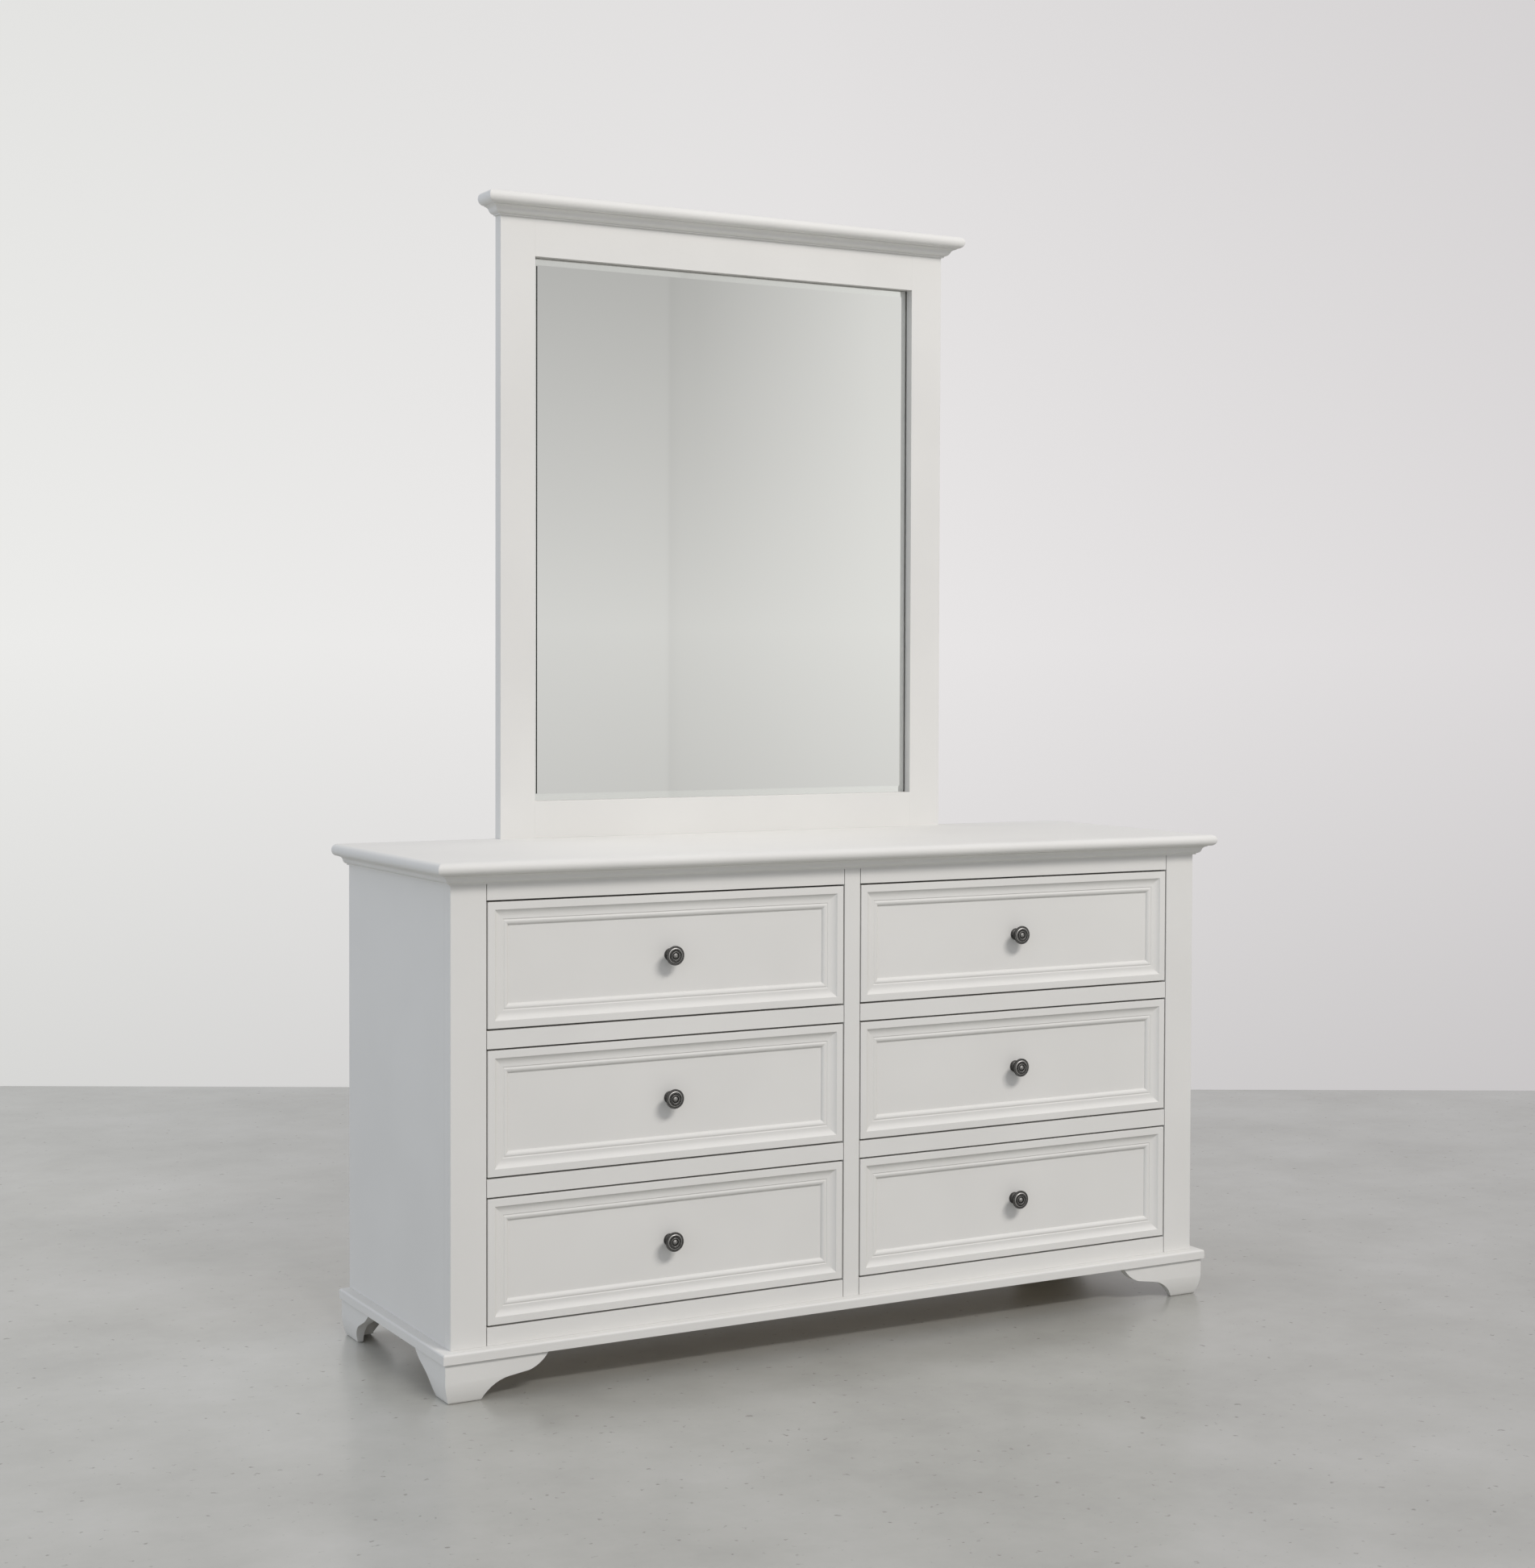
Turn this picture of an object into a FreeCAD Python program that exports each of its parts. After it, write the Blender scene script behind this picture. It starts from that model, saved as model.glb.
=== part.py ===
import FreeCAD, Part
import math
import os

# A painted dresser with six drawers in two bays, and a framed mirror that stands on its top.
# Millimetres. +X goes to the right of someone who faces the drawers, +Y goes back and +Z up.
# The origin is on the floor, in the middle of the overall width and depth.

# ---------------------------------------------------------------- driving dimensions

# Face frame
bay_width = 672.0              # clear width of one bay of drawers
opening_height = 211.2         # clear height of one drawer's opening
post_width = 62.4              # corner posts, seen from the front
frame_thickness = 25.0         # posts, stile and rails, front to back
rail_height = 29.5             # rails between drawers
bottom_rail_height = 29.8
top_rail_height = 43.9         # runs up behind the moulding under the top

# Case
case_depth = 475.0
side_thickness = 18.0
partition_thickness = 18.0
packer_thickness = 6.5         # strips that bring the slides out from the partition to the stile's edge
bottom_thickness = 12.0
back_thickness = 5.0
back_lap = 9.0                 # how far the back laps onto each side, in its rebate
rear_rail_thickness = 18.0
rear_rail_height = 80.0
cleat_height = 50.0

# Top, with its three shown edges fully rounded, and the moulding under it
top_thickness = 20.7
top_overhang = 32.5
bed_height = 17.0
bed_reach = 19.0

# Section of the mouldings under the top and the cornice
mould_lip = 1.5                # straight edge above the curve
mould_foot = 4.0               # how far the fillet at the foot stands out
mould_bead = 2.4               # height of that fillet
mould_bow = 1.7                # rise of each of the two arcs of the curve

# Base
ledge_thickness = 17.0
ledge_reach = 19.0
ledge_round = 4.0
base_board_inside = 41.0       # how far the base boards reach in under the case
foot_height = 67.2
foot_reach = 14.5              # outer faces of the feet, out from the case
foot_board = 18.0
foot_taper = 9.0               # how far the outer faces curve in at the floor
foot_taper_height = 36.0
foot_taper_bow = 1.6
foot_block = 25.0
foot_block_lift = 8.0

# Sawn edges of the bracket feet, measured along each board from its outer corner
front_toe = 64.5
front_waist = 112.0
front_knee = 146.5
front_end = 181.0
front_waist_bow = 7.6
front_knee_bow = 4.0
side_toe = 60.0
side_waist = 84.0
side_knee = 114.0
side_end = 137.0
side_waist_bow = 4.0
side_knee_bow = 1.0
waist_height = 35.5
front_knee_height = 40.5
side_knee_height = 49.5
brace_toe = 30.0
brace_end = 90.0
brace_knee_height = 45.0

# Drawer fronts
front_side_gap = 2.5           # left and right of a drawer front
front_end_gap = 3.0            # above and below it
front_thickness = 22.0
border_width = 12.5            # flat margin round the moulding
cove_width = 12.0
cove_depth = 5.6
cove_bow = 1.46
quirk_inset = 28.4             # fine groove between cove and bead, from the edge
quirk_width = 1.6
quirk_depth = 0.7
bead_inset = 32.7              # where the bead starts to fall, from the edge
bead_width = 6.3
bead_bow = 1.13
panel_depth = 9.9              # the sunk panel, behind the margin

# Drawer boxes
box_side = 12.0
box_front = 15.0
box_back = 12.0
box_under_gap = 12.0
box_over_gap = 28.0
tail_count = 4
pin_width = 13.0
tail_slope = 6.0               # run of a dovetail's flank for each millimetre of spread
drawer_bottom = 6.0
groove_depth = 6.0
groove_lift = 10.0             # groove above the lower edge of the box
groove_clearance = 0.2

# Slides
slide_space = 12.7             # between cleat and drawer box
slide_height = 35.0
slide_sheet = 1.2
slide_flange = 9.5             # flanges of the case member
slide_running_gap = 0.4
slide_rear_gap = 30.0          # behind a closed drawer box

# Knobs
knob_diameter = 33.0
knob_projection = 24.2         # from the sunk panel
knob_flange_diameter = 21.0
knob_flange = 1.6
knob_neck_diameter = 12.0
knob_neck_start = 4.5          # heights from the sunk panel
knob_neck_end = 10.7
knob_hollow = 1.2              # rise of the arcs into and out of the neck
knob_crown = 2.5               # height of the boss above the rim's outer edge
knob_rim = 3.0
knob_ring_width = 5.1
knob_ring_rise = 1.0
knob_dish = 1.2
knob_boss_diameter = 9.0
screw_diameter = 4.0
screw_hole_clearance = 0.2
screw_head_diameter = 9.0
screw_head = 2.4
screw_grip = 10.0              # length of the screw inside the knob

# Mirror
mirror_width = 942.7
mirror_thickness = 23.0
mirror_stile = 68.0
mirror_bottom_rail = 67.3
mirror_opening_height = 988.3
mirror_top_rail = 85.5         # runs up behind the cornice moulding
glass_thickness = 4.0
glass_lap = 8.0                # rebate round the opening
glass_clearance = 0.5
glass_bevel = 20.0
glass_edge = 2.5               # thickness left at the bevelled edge
backing_thickness = 3.0
backing_lap = 14.0
cornice_thickness = 23.5       # its three shown edges are fully rounded
cornice_overhang = 34.5
cornice_bed_height = 16.5
cornice_bed_reach = 22.0

# Uprights that hold the mirror
support_thickness = 20.0
support_inset = 12.0           # in from the mirror's outer edges, so that they don't show from the front
support_margin = 2.0           # beside the backing
support_drop = 450.0           # below the dresser's top surface
support_rise = 700.0           # above it
wood_screw_length = 38.0
wood_screw_diameter = 4.5
wood_screw_head_diameter = 9.0
wood_screw_point = 5.0
wood_screw_clearance = 0.1
case_screw_spacing = 40.0
mirror_screw_height = 150.0    # lower mirror screws above the top surface
mirror_screw_spacing = 450.0

# ---------------------------------------------------------------- places that follow from them

BAYS = {"left": -1, "right": 1}
ROWS = ["lower", "middle", "upper"]

cut_margin = 1.0               # how far a cutter starts outside the surface that it cuts
quarter_bow = 1 - math.sqrt(0.5)   # rise of a quarter circle's arc, for a radius of 1

stile_width = partition_thickness + 2 * packer_thickness
half_width = stile_width / 2 + bay_width + post_width
side_inner = half_width - side_thickness
overall_depth = top_overhang + case_depth + support_thickness
face_y = top_overhang - overall_depth / 2
frame_back_y = face_y + frame_thickness
back_y = face_y + case_depth
back_panel_y = back_y - back_thickness
rear_rail_y = back_panel_y - rear_rail_thickness

ledge_top = foot_height + ledge_thickness
first_opening = ledge_top + bottom_rail_height
row_pitch = opening_height + rail_height
last_opening_top = first_opening + len(ROWS) * row_pitch - rail_height
case_top = last_opening_top + top_rail_height
top_surface = case_top + top_thickness

box_y = face_y + front_thickness
box_length = rear_rail_y - slide_rear_gap - box_y
box_height = opening_height - box_under_gap - box_over_gap
box_half = bay_width / 2 - slide_space
front_half = bay_width / 2 - front_side_gap
opening_middle = opening_height / 2
panel_y = face_y + panel_depth

mirror_front_y = back_y - mirror_thickness
glass_y = back_y - glass_thickness
mirror_half = mirror_width / 2
glass_half = mirror_half - mirror_stile        # half the width of the mirror's opening
mirror_opening_low = top_surface + mirror_bottom_rail
mirror_opening_high = mirror_opening_low + mirror_opening_height
mirror_top = mirror_opening_high + mirror_top_rail
support_back_y = back_y + support_thickness
support_outer = mirror_half - support_inset
support_inner = glass_half + backing_lap + support_margin

# ---------------------------------------------------------------- helpers


def point(x, y, z):
    return FreeCAD.Vector(x, y, z)


def block(x, y, z):
    """A box between two places along each direction."""
    corner = point(min(x), min(y), min(z))
    return Part.makeBox(abs(x[1] - x[0]), abs(y[1] - y[0]), abs(z[1] - z[0]), corner)


def face_of(corners, place):
    """A flat face. A corner is (u, w) or (u, w, bow), where bow is the rise of the arc that arrives
    at it, to the left of the way there. place turns u and w into a point in space."""
    edges = []
    for before, after in zip(corners, corners[1:] + corners[:1]):
        run = after[0] - before[0]
        rise = after[1] - before[1]
        start = place(before[0], before[1])
        end = place(after[0], after[1])
        if len(after) == 3 and after[2] != 0:
            scale = after[2] / math.hypot(run, rise)
            middle = place(before[0] + run / 2 - rise * scale, before[1] + rise / 2 + run * scale)
            edges.append(Part.Arc(start, middle, end).toShape())
        else:
            edges.append(Part.makeLine(start, end))
    return Part.Face(Part.Wire(edges))


def mirrored(corners):
    """The same corners on the other side of u = 0, walked the other way."""
    turned = []
    bow = 0
    for corner in reversed(corners):
        turned.append((-corner[0], corner[1], bow))
        bow = corner[2] if len(corner) == 3 else 0
    return turned


def turned_about_y(corners, x, y, z):
    """A round solid on an axis along Y. Corners are (radius, distance in front of y)."""
    face = face_of(corners, lambda radius, out: point(x + radius, y - out, z))
    return face.revolve(point(x, y, z), point(0, 1, 0), 360)


def rod_along_y(radius, x, y, z):
    return Part.makeCylinder(radius, y[1] - y[0], point(x, y[0], z), point(0, 1, 0))


def across_x(corners, front, x):
    """Corners are (distance in front of front, height)."""
    face = face_of(corners, lambda out, height: point(x[0], front - out, height))
    return face.extrude(point(x[1] - x[0], 0, 0))


def mitred_runs(corners, half, front, back):
    """Front, left and right lengths of one moulding, mitred at the two front corners.
    Corners are (distance out from the case, height)."""
    outs = [corner[0] for corner in corners]
    heights = [corner[1] for corner in corners]
    reach = max(outs)
    inside = min(outs)
    low = min(heights)
    tall = point(0, 0, max(heights) - low)
    run = across_x(corners, front, (-half - reach, half + reach))
    plan = [(half + inside, front - inside), (half + reach, front - reach),
            (-half - reach, front - reach), (-half - inside, front - inside)]
    pieces = [run.common(face_of(plan, lambda x, y: point(x, y, low)).extrude(tall))]
    for side in BAYS.values():
        run = face_of(corners, lambda out, height: point(side * (half + out), front - reach, height))
        run = run.extrude(point(0, back - front + reach, 0))
        plan = [(half + inside, front - inside), (half + reach, front - reach),
                (half + reach, back), (half + inside, back)]
        pieces.append(run.common(face_of(plan, lambda x, y: point(side * x, y, low)).extrude(tall)))
    return pieces


def nosed_board(half, front, back, z, overhang):
    """A board with fully rounded front and side edges, which meet in mitres at the front corners."""
    radius = (z[1] - z[0]) / 2
    edge = overhang - radius
    sides = [(half + edge, z[0]), (half + edge, z[1], -radius),
             (-half - edge, z[1]), (-half - edge, z[0], -radius)]
    wide = face_of(sides, lambda x, height: point(x, front - overhang, height))
    wide = wide.extrude(point(0, back - front + overhang, 0))
    section = [(edge, z[0]), (edge, z[1], -radius), (front - back, z[1]), (front - back, z[0])]
    return wide.common(across_x(section, front, (-half - overhang, half + overhang)))


def s_section(reach, low, high):
    """Section of the moulding under a top: a lip, a hollow that turns into a round, and a fillet."""
    lip = (reach, high - mould_lip)
    foot = (mould_foot, low + mould_bead)
    return [(0, low), (0, high), (reach, high), lip,
            ((lip[0] + foot[0]) / 2, (lip[1] + foot[1]) / 2, -mould_bow),
            (foot[0], foot[1], mould_bow), (mould_foot, low)]


def save(name, *shapes):
    """One node, of one solid or of several separate ones."""
    solids = [solid for shape in shapes for solid in shape.Solids]
    node = solids[0] if len(solids) == 1 else Part.makeCompound(solids)
    node.exportStep(os.path.join("parts", name + ".step"))


# ---------------------------------------------------------------- case


def make_sides():
    for name, side in BAYS.items():
        outer = side * half_width
        inner = side * side_inner
        panel = block((outer, inner), (frame_back_y, back_y), (ledge_top, case_top))
        rebate = block((inner, inner + side * back_lap), (back_panel_y, back_y), (ledge_top, case_top))
        save(name + "_side_panel", panel.cut(rebate))
        post = block((outer, outer - side * post_width), (face_y, frame_back_y), (ledge_top, case_top))
        save(name + "_front_post", post)


def make_face_frame():
    frame_y = (face_y, frame_back_y)
    stile = block((-stile_width / 2, stile_width / 2), frame_y, (ledge_top, case_top))
    save("centre_stile", stile)
    heights = [(ledge_top, first_opening), (last_opening_top, case_top)]
    for row in range(1, len(ROWS)):
        rail_top = first_opening + row * row_pitch
        heights.append((rail_top - rail_height, rail_top))
    for name, side in BAYS.items():
        bay_x = (side * stile_width / 2, side * (stile_width / 2 + bay_width))
        save(name + "_front_rails", *[block(bay_x, frame_y, z) for z in heights])


def make_case_inside():
    inside_y = (frame_back_y, back_panel_y)
    floor_top = ledge_top + bottom_thickness
    save("bottom_panel", block((-side_inner, side_inner), inside_y, (ledge_top, floor_top)))
    half = partition_thickness / 2
    save("centre_partition", block((-half, half), inside_y, (floor_top, case_top)))
    lap = side_inner + back_lap
    holes = screw_holes(case_screws())
    save("back_panel", block((-lap, lap), (back_panel_y, back_y), (ledge_top, case_top)).cut(holes))
    rail_y = (rear_rail_y, back_panel_y)
    rail_z = (case_top - rear_rail_height, case_top)
    rails = [block((side * half, side * side_inner), rail_y, rail_z) for side in BAYS.values()]
    save("rear_rails", *[rail.cut(holes) for rail in rails])


def make_top():
    save("top_board", nosed_board(half_width, face_y, back_y, (case_top, top_surface), top_overhang))
    section = s_section(bed_reach, case_top - bed_height, case_top)
    save("top_moulding", *mitred_runs(section, half_width, face_y, back_y))


# ---------------------------------------------------------------- base


def make_base():
    section = [(-base_board_inside, foot_height), (-base_board_inside, ledge_top),
               (ledge_reach - ledge_round, ledge_top),
               (ledge_reach, ledge_top - ledge_round, ledge_round * quarter_bow),
               (ledge_reach, foot_height)]
    boards = mitred_runs(section, half_width, face_y, back_y)
    inner = half_width - base_board_inside
    rear_y = (back_y - base_board_inside - ledge_reach, back_y)
    rear = block((-inner, inner), rear_y, (foot_height, ledge_top))
    save("base_moulding", *boards, rear)


def bracket(toe, waist, knee, end, knee_height, waist_bow, knee_bow):
    """Outline of a bracket board, from its outer corner along the floor and up the sawn edge."""
    return [(0, 0), (toe, 0), (waist, waist_height, waist_bow), (knee, knee_height),
            (end, foot_height, -knee_bow), (0, foot_height)]


def taper_cutter(length, place, along):
    """What the lower part of a foot's outer face loses, so that it curves in at the floor."""
    section = [(-cut_margin, foot_taper_height), (0, foot_taper_height),
               (foot_taper, 0, -foot_taper_bow), (foot_taper, -cut_margin), (-cut_margin, -cut_margin)]
    return face_of(section, place).extrude(along * length)


def make_feet():
    """Each foot is made with its outer corner at the origin and the case towards +X and +Y. The
    rear one is turned over front to back, and the right ones are mirror images of the left."""
    x_way = point(1, 0, 0)
    y_way = point(0, 1, 0)
    up = point(0, 0, foot_height)
    front_taper = taper_cutter(front_end, lambda v, z: point(0, v, z), x_way)
    side_taper = taper_cutter(side_end, lambda v, z: point(v, 0, z), y_way)

    front_edge = bracket(front_toe, front_waist, front_knee, front_end,
                         front_knee_height, front_waist_bow, front_knee_bow)
    side_edge = bracket(side_toe, side_waist, side_knee, side_end,
                        side_knee_height, side_waist_bow, side_knee_bow)
    front_board = face_of(front_edge, lambda u, z: point(u, 0, z)).extrude(y_way * foot_board)
    side_board = face_of(side_edge, lambda u, z: point(0, u, z)).extrude(x_way * foot_board)
    mitre = [(0, 0), (front_end, 0), (front_end, foot_board), (foot_board, foot_board)]
    front_half_plan = face_of(mitre, lambda x, y: point(x, y, 0)).extrude(up)
    mitre = [(0, 0), (side_end, 0), (side_end, foot_board), (foot_board, foot_board)]
    side_half_plan = face_of(mitre, lambda x, y: point(y, x, 0)).extrude(up)
    far = foot_board + foot_block
    glue_block = block((foot_board, far), (foot_board, far), (foot_block_lift, foot_height))
    front_foot = [front_board.common(front_half_plan).cut(front_taper).cut(side_taper),
                  side_board.common(side_half_plan).cut(front_taper).cut(side_taper), glue_block]

    brace_edge = [(foot_board, 0), (foot_board + brace_toe, 0), (brace_end, brace_knee_height),
                  (brace_end, foot_height), (foot_board, foot_height)]
    brace = face_of(brace_edge, lambda u, z: point(u, 0, z)).extrude(y_way * foot_board)
    rear_foot = [side_board.cut(side_taper), brace, glue_block]
    rear_foot = [piece.mirror(point(0, 0, 0), y_way) for piece in rear_foot]

    corner_x = -half_width - foot_reach
    for name, pieces, corner_y in (("front", front_foot, face_y - foot_reach), ("rear", rear_foot, back_y)):
        left = [piece.translated(point(corner_x, corner_y, 0)) for piece in pieces]
        save(name + "_left_foot", *left)
        save(name + "_right_foot", *[piece.mirror(point(0, 0, 0), x_way) for piece in left])


# ---------------------------------------------------------------- slides


def slide_member(section, edge, inward, low, y):
    """A channel. Section corners are (distance from the bay's edge, height from its middle)."""
    middle = low + opening_middle
    face = face_of(section, lambda out, height: point(edge + inward * out, y[0], middle + height))
    return face.extrude(point(0, y[1] - y[0], 0))


def case_channel():
    half = slide_height / 2
    web = slide_sheet
    return [(0, -half), (slide_flange, -half), (slide_flange, web - half), (web, web - half),
            (web, half - web), (slide_flange, half - web), (slide_flange, half), (0, half)]


def drawer_channel():
    half = slide_height / 2 - slide_sheet - slide_running_gap
    near = slide_sheet + slide_running_gap
    web = slide_space - slide_sheet
    return [(slide_space, -half), (slide_space, half), (near, half), (near, half - slide_sheet),
            (web, half - slide_sheet), (web, slide_sheet - half), (near, slide_sheet - half),
            (near, -half)]


def make_case_slides():
    cleats = []
    channels = []
    for side in BAYS.values():
        inner = side * stile_width / 2
        outer = inner + side * bay_width
        for row in range(len(ROWS)):
            low = first_opening + row * row_pitch
            cleat_z = (low + opening_middle - cleat_height / 2, low + opening_middle + cleat_height / 2)
            for edge, wall, inward in ((inner, side * partition_thickness / 2, side),
                                       (outer, side * side_inner, -side)):
                cleats.append(block((edge, wall), (frame_back_y, rear_rail_y), cleat_z))
                channel_y = (frame_back_y, box_y + box_length)
                channels.append(slide_member(case_channel(), edge, inward, low, channel_y))
    save("slide_cleats", *cleats)
    save("case_slides", *channels)


# ---------------------------------------------------------------- drawers, each in its opening's own frame


def make_drawer_front():
    """A front with a sunk panel, framed by a cove, a fine groove and a bead. The moulding is cut
    along and across, and what both cuts take leaves mitred corners."""
    half_height = opening_middle - front_end_gap
    solid = block((-front_half, front_half), (face_y, box_y),
                  (opening_middle - half_height, opening_middle + half_height))

    def sunk_section(half_span):
        edge = border_width - half_span
        left = [(edge, -cut_margin), (edge, 0), (edge + cove_width, cove_depth, cove_bow),
                (bead_inset - half_span, cove_depth),
                (bead_inset + bead_width - half_span, panel_depth, -bead_bow)]
        return left + mirrored(left)

    across = face_of(sunk_section(front_half), lambda u, depth: point(u, face_y + depth, 0))
    across = across.extrude(point(0, 0, opening_height))
    upright = face_of(sunk_section(half_height),
                      lambda u, depth: point(-front_half, face_y + depth, opening_middle + u))
    upright = upright.extrude(point(2 * front_half, 0, 0))

    def inset_block(inset):
        return block((inset - front_half, front_half - inset), (face_y, face_y + cove_depth + quirk_depth),
                     (opening_middle - half_height + inset, opening_middle + half_height - inset))

    quirk = inset_block(quirk_inset).cut(inset_block(quirk_inset + quirk_width))
    return solid.cut(across.common(upright)).cut(quirk).cut(knob_screw_hole())


def knob_screw_hole():
    radius = screw_diameter / 2 + screw_hole_clearance
    return rod_along_y(radius, 0, (face_y, box_y + box_front), opening_middle)


def make_drawer_box():
    """Two sides, an inner front that the sides are dovetailed into, and a back between them."""
    low = box_under_gap
    z = (low, low + box_height)
    inner = box_half - box_side
    tail_y = box_y + box_front
    end_y = box_y + box_length
    pitch = box_height / tail_count
    wide = (pitch - pin_width) / 2
    narrow = wide - box_front / tail_slope
    groove = bottom_block(groove_clearance)
    inner_front = block((-box_half, box_half), (box_y, tail_y), z).cut(knob_screw_hole())
    sides = []
    for side in BAYS.values():
        board = block((side * inner, side * box_half), (tail_y, end_y), z)
        for index in range(tail_count):
            middle = low + (index + 0.5) * pitch
            tail = [(box_y, middle - wide), (box_y, middle + wide),
                    (tail_y, middle + narrow), (tail_y, middle - narrow)]
            tail = face_of(tail, lambda y, height: point(side * inner, y, height))
            tail = tail.extrude(point(side * box_side, 0, 0))
            inner_front = inner_front.cut(tail)
            board = board.fuse(tail)
        sides.append(board.removeSplitter().cut(groove))
    back = block((-inner, inner), (end_y - box_back, end_y), z)
    return [inner_front.cut(groove), back.cut(groove)] + sides


def bottom_block(clearance):
    """The bottom of a drawer, or with a clearance the groove that takes it."""
    half = box_half - box_side + groove_depth + clearance
    low = box_under_gap + groove_lift
    return block((-half, half),
                 (box_y + box_front - groove_depth - clearance,
                  box_y + box_length - box_back + groove_depth + clearance),
                 (low, low + drawer_bottom + clearance))


def make_knob():
    """A turned knob with a flange, a neck and a ringed head, and the machine screw that holds it."""
    head = knob_diameter / 2
    flange = knob_flange_diameter / 2
    neck = knob_neck_diameter / 2
    boss = knob_boss_diameter / 2
    edge_top = knob_projection - knob_crown
    ring = head - knob_ring_width
    ring_top = edge_top + knob_ring_rise
    corners = [(0, 0), (flange, 0), (flange, knob_flange), (neck, knob_neck_start, -knob_hollow),
               (neck, knob_neck_end), (head, edge_top - knob_rim, -knob_hollow), (head, edge_top),
               (ring, ring_top), (ring, ring_top - knob_dish), (boss, edge_top),
               (boss, edge_top + knob_ring_rise), (0, knob_projection)]
    knob = turned_about_y(corners, 0, panel_y, opening_middle)
    radius = screw_diameter / 2
    screw_tip = panel_y - screw_grip
    knob = knob.cut(rod_along_y(radius, 0, (screw_tip, panel_y), opening_middle))
    inside_y = box_y + box_front
    screw = rod_along_y(radius, 0, (screw_tip, inside_y), opening_middle)
    screw_cap = rod_along_y(screw_head_diameter / 2, 0, (inside_y, inside_y + screw_head), opening_middle)
    return [knob, screw.fuse(screw_cap).removeSplitter()]


def make_drawers():
    section = drawer_channel()
    runner_y = (box_y, box_y + box_length)
    runners = [slide_member(section, side * bay_width / 2, -side, 0, runner_y) for side in BAYS.values()]
    pieces = {"front": [make_drawer_front()], "box": make_drawer_box(), "bottom": [bottom_block(0)],
              "knob": make_knob(), "runners": runners}
    for bay, side in BAYS.items():
        middle = side * (stile_width + bay_width) / 2
        for row, row_name in enumerate(ROWS):
            place = point(middle, 0, first_opening + row * row_pitch)
            for name, shapes in pieces.items():
                moved = [shape.translated(place) for shape in shapes]
                save("_".join((row_name, bay, "drawer", name)), *moved)


# ---------------------------------------------------------------- mirror


def make_mirror_frame():
    frame_y = (mirror_front_y, back_y)
    rebate = block((-glass_half - glass_lap, glass_half + glass_lap), (glass_y, back_y),
                   (mirror_opening_low - glass_lap, mirror_opening_high + glass_lap))
    holes = screw_holes(mirror_screws())
    for name, side in BAYS.items():
        stile = block((side * glass_half, side * mirror_half), frame_y, (top_surface, mirror_top))
        save("mirror_" + name + "_stile", stile.cut(rebate).cut(holes))
    rails_z = {"bottom": (top_surface, mirror_opening_low), "top": (mirror_opening_high, mirror_top)}
    for name, z in rails_z.items():
        rail = block((-glass_half, glass_half), frame_y, z)
        save("mirror_" + name + "_rail", rail.cut(rebate))
    cornice_z = (mirror_top, mirror_top + cornice_thickness)
    save("mirror_cornice", nosed_board(mirror_half, mirror_front_y, back_y, cornice_z, cornice_overhang))
    section = s_section(cornice_bed_reach, mirror_top - cornice_bed_height, mirror_top)
    save("cornice_moulding", *mitred_runs(section, mirror_half, mirror_front_y, back_y))


def make_mirror_glass():
    """A plate with a wide, shallow bevel round its front, cut along and across as the fronts are."""
    margin = glass_lap - glass_clearance
    middle = (mirror_opening_low + mirror_opening_high) / 2

    def bevelled_section(half_span):
        left = [(-half_span, 0), (-half_span, glass_edge), (glass_bevel - half_span, glass_thickness)]
        return left + mirrored(left)

    half_wide = glass_half + margin
    half_tall = mirror_opening_height / 2 + margin
    across = face_of(bevelled_section(half_wide), lambda u, out: point(u, back_y - out, middle - half_tall))
    upright = face_of(bevelled_section(half_tall), lambda u, out: point(-half_wide, back_y - out, middle + u))
    across = across.extrude(point(0, 0, 2 * half_tall))
    save("mirror_glass", across.common(upright.extrude(point(2 * half_wide, 0, 0))))
    half = glass_half + backing_lap
    save("mirror_backing", block((-half, half), (back_y, back_y + backing_thickness),
                                 (mirror_opening_low - backing_lap, mirror_opening_high + backing_lap)))


# ---------------------------------------------------------------- uprights behind the mirror


def screw_columns():
    middle = (support_outer + support_inner) / 2
    return [side * middle for side in BAYS.values()]


def case_screws():
    rail_middle = case_top - rear_rail_height / 2
    heights = (rail_middle - case_screw_spacing / 2, rail_middle + case_screw_spacing / 2)
    return [(x, z) for x in screw_columns() for z in heights]


def mirror_screws():
    lower = top_surface + mirror_screw_height
    return [(x, z) for x in screw_columns() for z in (lower, lower + mirror_screw_spacing)]


def wood_screw(x, z, clearance=0):
    """A countersunk screw driven forwards from the back of an upright, or with a clearance its hole."""
    head = wood_screw_head_diameter / 2 + clearance
    shank = wood_screw_diameter / 2 + clearance
    length = wood_screw_length + clearance
    corners = [(0, 0), (head, 0), (shank, head - shank), (shank, length - wood_screw_point), (0, length)]
    return turned_about_y(corners, x, support_back_y, z)


def screw_holes(places):
    return Part.makeCompound([wood_screw(x, z, wood_screw_clearance) for x, z in places])


def make_supports():
    screws = case_screws() + mirror_screws()
    support_y = (back_y, support_back_y)
    support_z = (top_surface - support_drop, top_surface + support_rise)
    uprights = [block((side * support_inner, side * support_outer), support_y, support_z)
                for side in BAYS.values()]
    save("mirror_supports", *[upright.cut(screw_holes(screws)) for upright in uprights])
    save("support_screws", *[wood_screw(x, z) for x, z in screws])


# ---------------------------------------------------------------- all of it

os.makedirs("parts", exist_ok=True)
make_sides()
make_face_frame()
make_case_inside()
make_top()
make_base()
make_feet()
make_case_slides()
make_drawers()
make_mirror_frame()
make_mirror_glass()
make_supports()
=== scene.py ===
import math
from contextlib import contextmanager

import bmesh
import bpy
from mathutils import Matrix, Vector


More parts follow.
